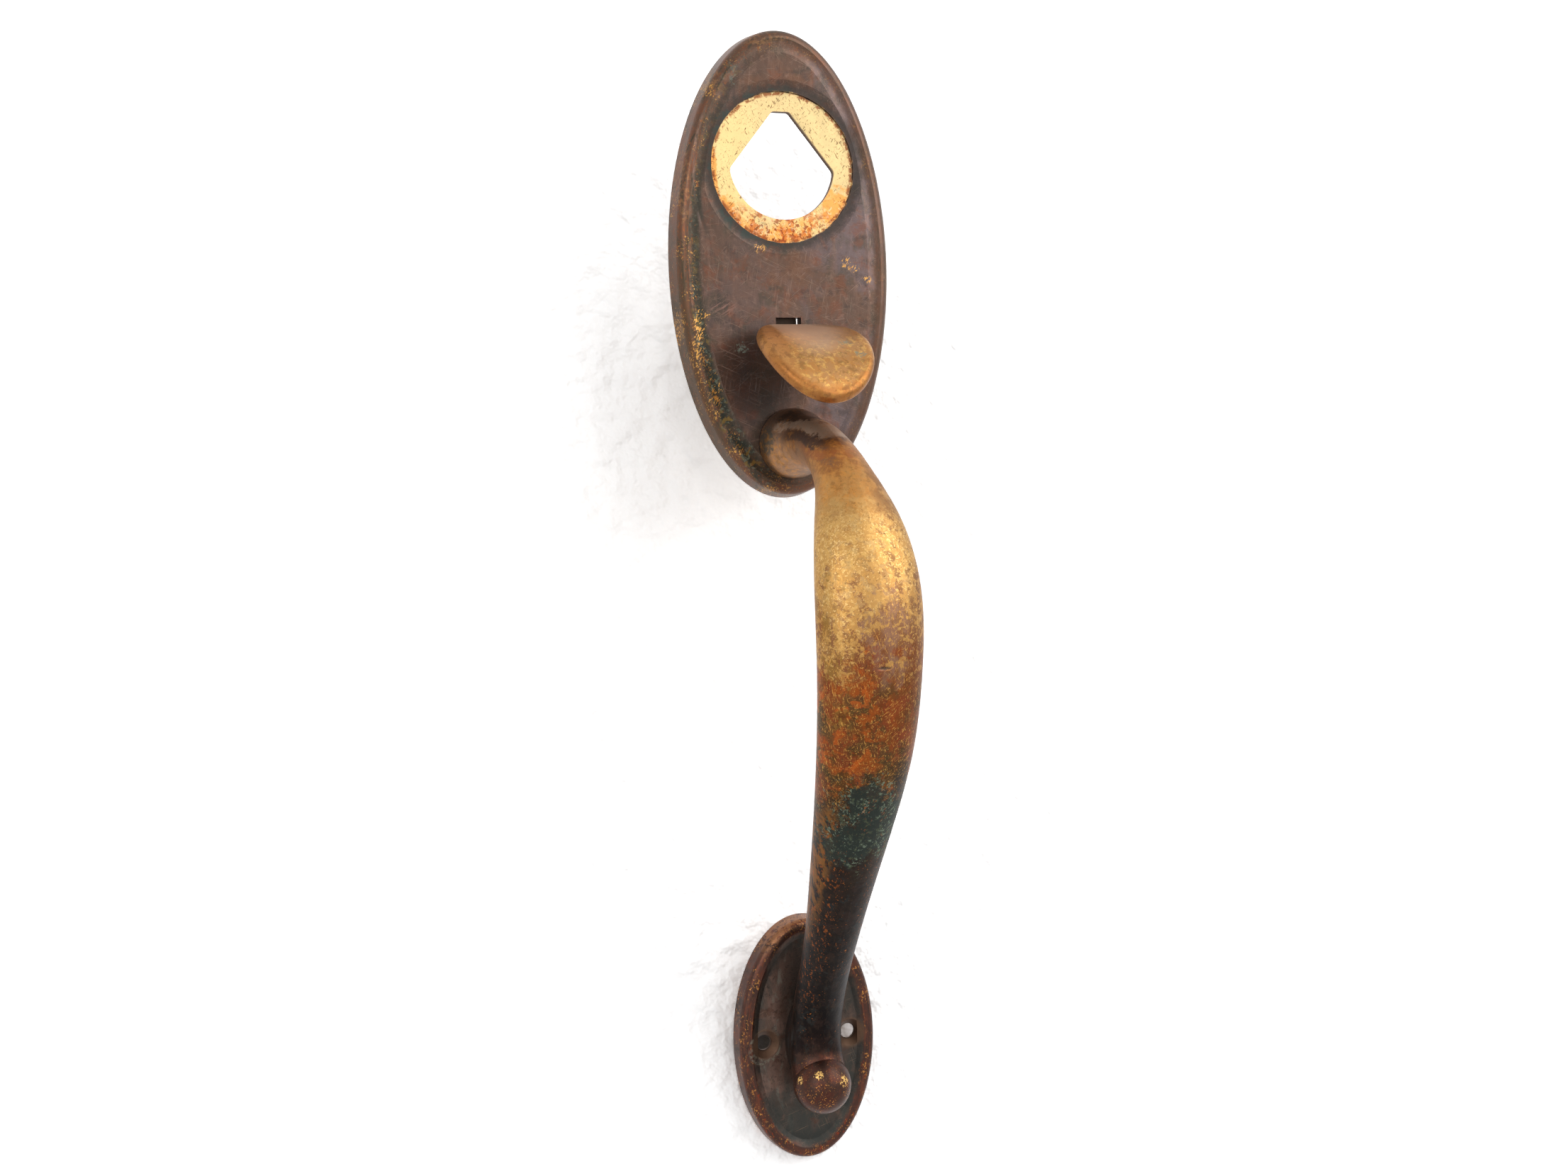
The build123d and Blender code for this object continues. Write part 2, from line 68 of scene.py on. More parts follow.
class Joining(Enum):
    """How two numbers are joined in a finish."""

    ADD = "ADD"
    TAKE = "SUBTRACT"
    TIMES = "MULTIPLY"
    MOST = "MAXIMUM"


@dataclass(frozen=True)
class Tone:
    """One layer of a bronze surface: its colour, how rough it is and how much it is bare metal."""

    colour: Colour
    roughness: float = 0.4
    metal: float = 0.8


@dataclass(frozen=True)
class Spot:
    """A place on the handle with soft limits: its centre and its half sizes, in millimetres."""

    centre: Point
    reach: Point
    ragged: float = 0.35
    grain: float = 0.25


class ShaderTree:
    """The shader nodes of a material or of the world."""

    def __init__(self, owner: Union[bpy.types.Material, bpy.types.World]) -> None:
        """Starts with an empty tree.

        Args:
            owner: what the nodes belong to.
        """
        owner.use_nodes = True
        self.nodes, self.links = owner.node_tree.nodes, owner.node_tree.links
        self.nodes.clear()

    def node(self, kind: str, feeds: Optional[dict] = None, **settings: object) -> bpy.types.NodeOutputs:
        """Adds a node.

        Args:
            kind: its type, without the word ShaderNode.
            feeds: what goes into its inputs: sockets, numbers, colours or vectors.
            settings: its own settings.

        Returns:
            Its outputs.
        """
        node = self.nodes.new("ShaderNode" + kind)
        for name, value in settings.items():
            setattr(node, name, value)
        for name, value in (feeds or {}).items():
            socket = node.inputs[name]
            if isinstance(value, Socket):
                self.links.new(value, socket)
            elif socket.type == "RGBA":
                socket.default_value = (*value, 1.0)
            else:
                socket.default_value = value
        return node.outputs

    def join(self, how: Joining, first: Number, second: Number) -> Socket:
        """Joins two numbers."""
        return self.node("Math", {0: first, 1: second}, operation=how.value)[0]

    def plus(self, *numbers: Number) -> Socket:
        """The sum of numbers."""
        return reduce(partial(self.join, Joining.ADD), numbers)

    def both(self, *masks: Number) -> Socket:
        """The product of masks, or of other numbers: present only where all are."""
        return reduce(partial(self.join, Joining.TIMES), masks)

    def either(self, *masks: Number) -> Socket:
        """The greatest of masks: present where any is."""
        return reduce(partial(self.join, Joining.MOST), masks)

    def mixed(self, mask: Number, under: object, over: object) -> Socket:
        """One colour over another where the mask is."""
        return self.node("Mix", {"Factor": mask, 6: under, 7: over}, data_type="RGBA")[2]

    def blended(self, mask: Number, under: Number, over: Number) -> Socket:
        """One number over another where the mask is."""
        return self.node("Mix", {"Factor": mask, 2: under, 3: over}, data_type="FLOAT")[0]

    def fade(self, value: Number, start: float, end: float, low: float = 0.0, high: float = 1.0) -> Socket:
        """A smooth step of a number.

        Args:
            value: the number.
            start, end: where the step begins and ends. They may fall as well as rise.
            low, high: the results there.

        Returns:
            The step's socket.
        """
        if start > end:
            start, end, low, high = end, start, high, low
        feeds = {"Value": value, "From Min": start, "From Max": end, "To Min": low, "To Max": high}
        return self.node("MapRange", feeds, interpolation_type="SMOOTHSTEP")[0]


class Look(ShaderTree):
    """The shader nodes of one finish, laid on in layers like a patina.

    x, y and z are coordinates in millimetres, and on_x, on_y and on_z are fades along them. place holds the
    coordinates in metres, for noise.
    """

    def __init__(self, name: str, ground: Tone) -> None:
        """Starts a material with one ground tone.

        Args:
            name: the material's name.
            ground: the tone under all layers.
        """
        self.material = bpy.data.materials.new(name)
        super().__init__(self.material)
        self.place = self.node("TexCoord")["Object"]
        in_mm = self.node("VectorMath", {0: self.place, "Scale": 1 / MM}, operation="SCALE")[0]
        self.x, self.y, self.z = axes = self.node("SeparateXYZ", {0: in_mm})
        self.on_x, self.on_y, self.on_z = (partial(self.fade, axis) for axis in axes)
        self.colour: Union[Colour, Socket] = ground.colour
        self.roughness: Number = ground.roughness
        self.metal: Number = ground.metal
        self.height: Number = 0.0

    def fade_linear(self, value: Number, start: float, end: float) -> Socket:
        """A number's share of the way from a start to an end, kept between 0 and 1."""
        return self.node("MapRange", {"Value": value, "From Min": start, "From Max": end})[0]

    def placed(self, scale: Point, turn: float = 0.0, seed: float = 0.0) -> Socket:
        """Object coordinates after a turn about Y in degrees, a scale and a shift by a seed."""
        turned = self.node("Mapping", {"Vector": self.place, "Rotation": (0, math.radians(turn), 0)})[0]
        return self.node("Mapping", {"Vector": turned, "Scale": scale, "Location": (seed,) * 3})[0]

    def cloud(
        self,
        size: float,
        detail: float = 5.0,
        roughness: float = 0.6,
        warp: float = 0.0,
        place: Optional[Socket] = None,
    ) -> Socket:
        """Noise.

        Args:
            size: the size of its lumps in thousandths of the coordinates' unit, which is a metre by default.
            detail: how many finer layers it has.
            roughness: how strong those are.
            warp: how much they are pulled about.
            place: coordinates of its own.

        Returns:
            The noise's socket, about 0.5 on average.
        """
        feeds = {"Scale": 1 / (size * MM), "Detail": detail, "Roughness": roughness, "Distortion": warp}
        return self.node("TexNoise", {"Vector": place or self.place, **feeds})["Fac"]

    def wobble(self, reach: float, *cloud: float) -> Socket:
        """Noise about 0 for ragged limits: a reach times a cloud, which is described as for cloud."""
        return self.both(self.join(Joining.TAKE, self.cloud(*cloud), 0.5), reach)

    def pattern(self, size: float, seed: float, stretch: Point, turn: float, *cloud: float) -> Socket:
        """Noise with lumps of a size in millimetres, moved on by a seed, stretched and turned."""
        scale = tuple(1 / (size * part) for part in stretch)
        return self.cloud(1.0, *cloud, self.placed(scale, turn, seed))

    def mottle(
        self,
        size: float,
        low: float,
        high: float,
        seed: float = 0.0,
        stretch: Point = (1, 1, 1),
        grain: float = 0.64,
    ) -> Socket:
        """Mask of soft ragged patches.

        Args:
            size: the patches' size in millimetres.
            low, high: the noise values between which the mask sets in, about 0.5 for half the surface.
            seed: a shift that makes the pattern differ from others.
            stretch: how much longer the patches are along each axis.
            grain: how rough their edges are.

        Returns:
            The mask's socket.
        """
        return self.fade(self.pattern(size, seed, stretch, 0.0, 7.0, grain, 0.35), low, high)

    def flecks(
        self, size: float, above: float, seed: float = 0.0, stretch: Point = (1, 1, 1), turn: float = 0.0
    ) -> Socket:
        """Mask of small crisp flecks of uneven size.

        Args:
            size: the flecks' size in millimetres.
            above: how rare they are: half the surface at 0.5 and hardly any at 0.7.
            seed: as for mottle.
            stretch: how much longer the flecks are along each turned axis.
            turn: the turn in degrees about Y.

        Returns:
            The mask's socket.
        """
        return self.fade(self.pattern(size, seed, stretch, turn, 4.0, 0.6, 0.2), above, above + 0.04)

    def hairlines(self, *lines: tuple[float, float, float, float]) -> Socket:
        """Mask of fine scratches along the turned X axis.

        Args:
            lines: sets of scratches, each with its turn in degrees about Y, its length and width in millimetres, and
                how rare it is, 0 to 1.

        Returns:
            The mask's socket.
        """
        masks = []
        for turn, length, width, above in lines:
            stretched = self.placed((1 / length, 1 / width, 1 / width), turn)
            masks.append(self.fade(self.cloud(1.0, 2.0, 0.5, 0.0, stretched), above, above + 0.05))
        return self.either(*masks)

    def stretch(self, value: Number, low: float, high: float, soft: float = 6.0) -> Socket:
        """Mask of a stretch between two values of a number, with fades that reach soft to both sides of each."""
        return self.both(self.fade(value, low - soft, low + soft), self.fade(value, high + soft, high - soft))

    def strip(self, value: Number, low: float, high: float) -> Socket:
        """Mask of a narrow stretch with short soft ends."""
        return self.stretch(value, low, high, 0.5)

    def paired(self, first: Number, second: Number) -> Socket:
        """Coordinates made of two numbers, for patterns that follow a shape."""
        return self.node("CombineXYZ", {0: first, 1: second})[0]

    def distance(self, centre: Point, reach: Point) -> Socket:
        """Distance from a centre in units of a reach, both in millimetres. A reach of 0 leaves its axis out."""
        scale = tuple(1 / (part * MM) if part else 0.0 for part in reach)
        shift = [-middle * MM * part for middle, part in zip(centre, scale)]
        place = self.node("Mapping", {"Vector": self.place, "Scale": scale, "Location": shift})[0]
        return self.node("VectorMath", {0: place}, operation="LENGTH")["Value"]

    def spot(self, spot: Spot) -> Socket:
        """Mask of a place with a ragged edge."""
        away = self.distance(spot.centre, spot.reach)
        ragged = self.wobble(spot.ragged * 4, max(spot.reach) * spot.grain, 6, 0.7)
        return self.fade(self.plus(away, ragged), 1.15, 0.8)

    def coat(self, tone: Tone, strength: float, *masks: Number) -> None:
        """Lays a tone over what is there.

        Args:
            tone: the layer's colour, roughness and metal.
            strength: how much of it covers at most.
            masks: where it lies, 0 to 1, which is where all of them are.
        """
        cover = self.both(*masks, strength)
        self.colour = self.mixed(cover, self.colour, tone.colour)
        self.roughness = self.blended(cover, self.roughness, tone.roughness)
        self.metal = self.blended(cover, self.metal, tone.metal)

    def patches(self, tone: Tone, strength: float, within: Number, *pattern: object, **named: object) -> None:
        """Lays a tone inside a mask in soft ragged patches, which are described as for mottle."""
        self.coat(tone, strength, within, self.mottle(*pattern, **named))

    def specks(self, tone: Tone, strength: float, within: Number, *pattern: object) -> None:
        """Lays a tone inside a mask in small crisp flecks, which are described as for flecks."""
        self.coat(tone, strength, within, self.flecks(*pattern))

    def banded(self, value: Number, bands: Sequence[tuple[float, Colour]]) -> Socket:
        """Colours along a number, which goes from 0 to 1.

        Args:
            value: the number.
            bands: its values with the colour at each.

        Returns:
            The colour's socket.
        """
        colours = self.node("ValToRGB", {0: value})[0]
        stops = colours.node.color_ramp.elements
        for index, (position, colour) in enumerate(bands):
            stop = stops[index] if index < 2 else stops.new(position)
            stop.position = position
            stop.color = (*colour, 1.0)
        return colours

    def raise_by(self, shape: Number, millimetres: float) -> None:
        """Adds relief: the shape's values, 0 to 1, times a height."""
        part = self.both(shape, millimetres * MM)
        self.height = self.plus(self.height, part)

    def finished(self) -> bpy.types.Material:
        """Connects the layers to the shader and returns the material."""
        relief = self.node("Bump", {"Height": self.height, "Distance": 1.0, "Strength": 1.0})[0]
        looks = {"Base Color": self.colour, "Roughness": self.roughness, "Metallic": self.metal, "Normal": relief}
        shader = self.node("BsdfPrincipled", looks)
        self.node("OutputMaterial", {"Surface": shader[0]})
        return self.material


def tone(red: int, green: int, blue: int, roughness: float = 0.38, metal: float = 0.85) -> Tone:
    """A layer from a colour as it is seen, with its roughness and its share of bare metal."""
    return Tone(hue(red, green, blue), roughness, metal)


GREEN_BLACK = tone(38, 45, 36, 0.55, 0.3)
PALE_CRUST = tone(138, 148, 128, 0.75, 0.1)
GOLD_FLECK = tone(222, 164, 88, 0.34, 1.0)
COPPER_FLECK = tone(158, 92, 52, 0.4, 0.9)


def cast_back(look: Look, middle: float, width: float, height: float, depth: float) -> None:
    """Lays rough cast metal with dull stains and a little green in a casting's hollow back.

    Args:
        look: the finish that it is for.
        middle: where the middle of the casting's oval lies along Z, in millimetres.
        width, height: half its width and height.
        depth: how far out from the door's face the hollow goes.
    """
    away = look.distance((0, 0, middle), (width - RIM_WALL, 0, height - RIM_WALL))
    hollow = look.both(look.fade(away, 1.02, 0.99), look.on_y(-(depth + 0.8), -(depth + 0.1)))
    look.coat(tone(100, 76, 56, 0.6, 0.6), 0.9, hollow)
    look.patches(tone(70, 54, 44, 0.65, 0.5), 0.7, hollow, 6, 0.46, 0.6, 1.7)
    look.patches(tone(96, 108, 88, 0.75, 0.2), 0.5, hollow, 2.4, 0.54, 0.64, 2.9)
    look.raise_by(look.both(hollow, look.cloud(0.8, 3, 0.6)), 0.12)


@dataclass(frozen=True)
class Finish:
    """A finish: its name, the tone under all its layers and the layers themselves."""

    name: str
    ground: Tone

    def build(self) -> bpy.types.Material:
        """Makes the material."""
        look = Look(self.name, self.ground)
        self.lay(look)
        return look.finished()

    def lay(self, look: Look) -> None:
        """Lays the layers on, the lowest first."""
        raise NotImplementedError


@dataclass(frozen=True)
class UpperPlateFinish(Finish):
    """Dark purple-brown patina of the upper plate, with a bright cylinder seat and verdigris in its groove."""

    name: str = "upper_plate_patina"
    seat_z: float = 28.4
    seat_radius: float = 22.4
    half_width: float = 34.25
    half_height: float = 70.0
    groove_inset: float = 5.8
    hollow_depth: float = 5.2
    ground: Tone = tone(99, 78, 67, 0.3, 0.8)
    streaks: tuple[Spot, ...] = (
        Spot((-7, 0, 66.2), (9, 0, 2.0), 0.6, 0.3),
        Spot((-20.5, 0, 53.5), (1.6, 0, 5), 0.7, 0.3),
        Spot((-31, 0, 28), (2.0, 0, 16), 0.5, 0.2),
    )
    gold_patches: tuple[Spot, ...] = (
        Spot((-28, 0, -19.5), (1.6, 0, 5), 0.9, 0.3),
        Spot((-28.4, 0, -27), (1.6, 0, 5), 0.9, 0.3),
        Spot((-32.6, 0, -20), (0.9, 0, 6), 0.9, 0.3),
        Spot((-25.5, 0, -15.6), (1.2, 0, 1.2), 0.7, 0.4),
        Spot((-22, 0, 51), (1.2, 0, 2.6), 0.8, 0.4),
        Spot((-8.3, 0, 4.3), (2.2, 0, 1.2), 0.8, 0.4),
        Spot((18.9, 0, 0.6), (1.4, 0, 1.6), 0.9, 0.4),
        Spot((21.6, 0, -1.3), (1.8, 0, 0.9), 0.9, 0.4),
        Spot((26, 0, -4.7), (1.9, 0, 1.0), 0.9, 0.4),
        Spot((-7.4, 0, -67.3), (2, 0, 1.2), 0.7, 0.4),
        Spot((-17.1, 0, -55.4), (1.8, 0, 1.4), 0.8, 0.4),
        Spot((-23.5, 0, -40), (1.6, 0, 6), 0.9, 0.3),
    )

    def lay(self, look: Look) -> None:
        """Lays the layers on, the lowest first."""
        self.patina(look)
        self.marks(look)
        self.rim(look)
        self.seat(look)
        cast_back(look, 0.0, self.half_width, self.half_height, self.hollow_depth)

    def patina(self, look: Look) -> None:
        """Broad tones, stains and fine specks all over."""
        look.coat(tone(110, 79, 62, 0.32), 0.8, look.mottle(22, 0.44, 0.6))
        violet = look.both(look.mottle(26, 0.44, 0.6, 0.7), look.on_x(-14, 18, 0.3, 1.0))
        look.coat(tone(110, 96, 96, 0.3, 0.8), 0.85, violet)
        look.coat(tone(74, 68, 56, 0.38, 0.7), 0.55, look.mottle(10, 0.5, 0.62, 1.3))
        look.coat(tone(122, 74, 54, 0.34), 0.5, look.mottle(7, 0.52, 0.64, 2.1))
        look.coat(tone(66, 57, 54, 0.4, 0.65), 0.45, look.mottle(5, 0.53, 0.66, 2.9))
        look.coat(tone(128, 98, 84, 0.3, 0.9), 0.3, look.mottle(1.8, 0.5, 0.68, 5.1, (1, 1, 7)))
        look.coat(tone(140, 112, 98, 0.3, 0.9), 0.35, look.mottle(1.6, 0.54, 0.68, 3.7))
        look.coat(tone(66, 54, 48, 0.45, 0.6), 0.25, look.mottle(1.4, 0.45, 0.33, 4.3))
        look.raise_by(look.cloud(1.1, 5, 0.6), 0.02)
        look.raise_by(look.cloud(14, 3, 0.5), 0.35)

    def marks(self, look: Look) -> None:
        """Scratches, pinkish and golden worn places, a painted highlight streak with painted shade beside it left of
        the seat, and painted shade under the thumb piece.
        """
        lines = look.hairlines(
            (38, 9, 0.2, 0.65), (-24, 12, 0.18, 0.66), (80, 15, 0.2, 0.65), (8, 10, 0.18, 0.67), (118, 7, 0.2, 0.67)
        )
        look.coat(tone(184, 154, 134, 0.28, 1.0), 0.3, lines)
        look.raise_by(lines, -0.015)
        # painted shade: the thumb piece's shadow and dark reflection on the plate, laid on as a dark grey patch below
        # and left of it
        stain_and_painted_shade = look.fade(look.distance((-9, 0, -33), (13, 0, 17)), 1.25, 0.35)
        look.coat(tone(52, 54, 57, 0.34, 0.7), 0.68, stain_and_painted_shade)
        teal = look.either(
            look.spot(Spot((-14.9, 0, -25.4), (1.5, 0, 1.5), 0.9, 0.5)),
            look.spot(Spot((-21.4, 0, -42.7), (1.2, 0, 2.4), 0.9, 0.5)),
            look.spot(Spot((-15.3, 0, 56), (1.4, 0, 3.2), 0.9, 0.5)),
        )
        look.patches(tone(118, 132, 120, 0.6, 0.3), 0.65, teal, 1.0, 0.44, 0.54)
        # painted highlight: a pinkish streak along a bow left of the seat, where a fold in the plate would catch the
        # light
        bow = look.distance((-10, 0, 24), (18, 0, 32))
        painted_fold_highlight = look.both(
            look.fade(bow, 0.965, 0.99), look.fade(bow, 1.03, 1.005), look.on_z(9, 15), look.on_z(47, 40),
            look.mottle(2.4, 0.36, 0.56, 6.1, (1, 1, 3)), look.on_x(-15, -20),
        )
        look.coat(tone(176, 146, 138, 0.32, 0.9), 0.5, painted_fold_highlight)
        # painted shade: a darker band between that streak and the seat
        painted_fold_shade = look.both(
            look.fade(bow, 0.88, 0.94), look.fade(bow, 0.98, 0.95), look.on_x(-19, -23), look.on_z(4, 14)
        )
        look.coat(tone(58, 56, 50, 0.42, 0.6), 0.6, painted_fold_shade)
        worn = look.fade(look.distance((-20.5, 0, -13), (5.5, 0, 3.4)), 1.1, 0.3)
        pink = look.both(worn, look.hairlines((32, 5, 0.4, 0.52)))
        look.coat(tone(180, 134, 120, 0.34, 0.9), 0.35, pink)

    def rim(self, look: Look) -> None:
        """Verdigris and dirt in the groove, streaks that follow the rolled rim, worn flecks on it and a painted
        reflection along its right edge.
        """
        exact = look.distance(
            (0, 0, 0), (self.half_width - self.groove_inset, 0, self.half_height - self.groove_inset)
        )
        groove = look.plus(exact, look.wobble(0.1, 7, 6, 0.7))
        left = look.on_x(0, -16)
        lower = look.on_z(12, -40)
        around = look.paired(look.both(exact, 26.0), look.both(look.z, 1 / 8))
        bands = look.cloud(1000.0, 7, 0.68, 0.5, around)
        rolled = look.fade(groove, 0.98, 1.06)
        look.coat(tone(108, 82, 66, 0.33), 0.6, rolled)
        worn_side = look.on_x(26, 0, 0.35, 1.0)
        look.coat(tone(124, 78, 56, 0.34), 0.65, rolled, worn_side, look.fade(bands, 0.48, 0.58))
        look.coat(tone(66, 60, 46, 0.42, 0.65), 0.75, rolled, worn_side, look.fade(bands, 0.47, 0.38))
        outer = look.both(look.fade(exact, 1.07, 1.13), left, look.on_z(20, -20))
        look.coat(tone(92, 72, 50, 0.42, 0.75), 0.6, outer)
        # painted reflection: a paler edge on the right of the rim, standing in for the white surroundings reflected
        # there
        right = look.both(look.fade(exact, 1.11, 1.16), look.on_x(16, 26))
        look.patches(tone(146, 126, 98, 0.42, 0.75), 0.4, right, 6, 0.34, 0.5, 7.3)
        line = look.both(look.fade(groove, 0.93, 0.98), look.fade(groove, 1.07, 1.02))
        shown = look.both(look.on_x(10, -22), look.on_z(50, 10, 0.15, 0.75))
        look.coat(tone(58, 56, 44, 0.45, 0.55), 1.0, line, shown)
        band = look.both(look.fade(groove, 0.93, 0.99), look.fade(groove, 1.11, 1.04), left)
        band = look.both(band, look.fade(lower, 0, 1, 0.25, 1))
        look.patches(GREEN_BLACK, 0.92, band, 3.0, 0.43, 0.53, 8.1)
        look.patches(PALE_CRUST, 0.5, band, 1.3, 0.55, 0.63, 8.7)
        look.patches(tone(146, 118, 56, 0.5, 0.6), 0.7, band, 2.4, 0.54, 0.62, 9.3)
        edge = look.both(look.fade(groove, 0.96, 1.03), look.on_x(26, -8, 0.3, 1))
        clusters = look.fade(look.cloud(8, 5, 0.7), 0.5, 0.6)
        look.coat(GOLD_FLECK, 0.8, look.flecks(0.5, 0.58, 1.7), clusters, edge)
        look.specks(COPPER_FLECK, 0.6, edge, 0.7, 0.61, 2.3, (1, 1, 1.8))
        for place in self.streaks:
            worn = look.both(look.spot(place), look.mottle(1.3, 0.46, 0.6, 9.9))
            look.coat(tone(164, 120, 82, 0.36, 0.9), 0.45, worn)
        for place in self.gold_patches:
            strokes = look.flecks(0.45, 0.53, place.centre[2], (1, 1, 2.6), -35)
            look.coat(GOLD_FLECK, 0.85, look.spot(place), strokes)

    def seat(self, look: Look) -> None:
        """Bright ring where a collar kept the patina off, with its tarnish, its pits, a painted highlight on its
        lower part and a dark halo round it.
        """
        away = look.distance((0, 0, self.seat_z), (self.seat_radius, 0, self.seat_radius))
        front = look.on_y(-5.5, -6.5)
        far = look.plus(away, look.wobble(0.34, 6, 7, 0.75))
        halo = look.both(look.fade(away, 0.98, 1.01), look.fade(far, 1.2, 1.03), front)
        look.coat(tone(56, 50, 45, 0.4, 0.6), 0.8, halo)
        teal = look.both(halo, look.mottle(4, 0.46, 0.58, 3.1), look.on_x(14, -14))
        look.coat(tone(52, 64, 58, 0.45, 0.45), 0.75, teal)
        close = look.plus(away, look.wobble(0.07, 3, 7, 0.75))
        ring = look.both(look.fade(close, 1.0, 0.985), front)
        look.coat(tone(238, 206, 148, 0.42), 1.0, ring)
        look.patches(tone(220, 196, 142, 0.44), 0.75, ring, 6, 0.46, 0.6, 4.1)
        look.coat(tone(250, 216, 150, 0.4), 0.85, ring, look.on_x(-4, -16))
        # painted highlight: paler golden and cream patches on the lower part of the ring
        painted_lit_lower_ring = look.on_z(24, 15)
        look.patches(tone(252, 210, 136, 0.38), 0.7, look.both(ring, painted_lit_lower_ring), 5, 0.42, 0.56, 5.3)
        amber = look.either(
            look.spot(Spot((-22.2, 0, 24), (1.8, 0, 12), 0.5, 0.3)),
            look.spot(Spot((-19.5, 0, 14.5), (4, 0, 6), 0.5, 0.4)), look.spot(Spot((17, 0, 16), (5, 0, 7), 0.5, 0.4)),
            look.both(look.on_z(17, 10), look.mottle(5, 0.42, 0.54, 6.7)),
        )
        look.coat(tone(246, 158, 64, 0.4, 0.9), 0.75, ring, amber)
        below = look.both(look.on_z(20, 11), look.on_x(20, 8))
        look.coat(tone(212, 112, 44, 0.45, 0.8), 0.8, ring, look.mottle(3.4, 0.48, 0.54, 7.9), below)
        look.coat(tone(160, 66, 30, 0.5, 0.7), 0.8, ring, look.flecks(1.5, 0.54, 8.3), below)
        look.coat(tone(255, 232, 188, 0.36), 0.45, ring, look.mottle(1.2, 0.52, 0.66, 9.1), painted_lit_lower_ring)
        pits = look.either(
            look.flecks(0.45, 0.64, 1.1),
            look.both(look.flecks(0.36, 0.6, 2.2, (1, 1, 5), 30), look.mottle(7, 0.46, 0.54, 2.7)),
            look.both(look.flecks(0.36, 0.61, 3.3, (1, 1, 5), -40), look.mottle(7, 0.46, 0.54, 3.9)),
        )
        look.coat(tone(128, 84, 46, 0.6, 0.5), 0.85, ring, pits)
        edge = look.both(look.fade(close, 0.935, 0.965), look.mottle(1.8, 0.44, 0.52, 4.9), ring)
        look.coat(tone(158, 84, 44, 0.5, 0.7), 0.85, edge)
        look.raise_by(look.both(ring, pits), -0.08)
        wall = look.both(look.on_y(-7.4, -6.6), look.fade(away, 0.99, 0.96))
        look.coat(tone(84, 54, 40, 0.5, 0.6), 0.9, wall)


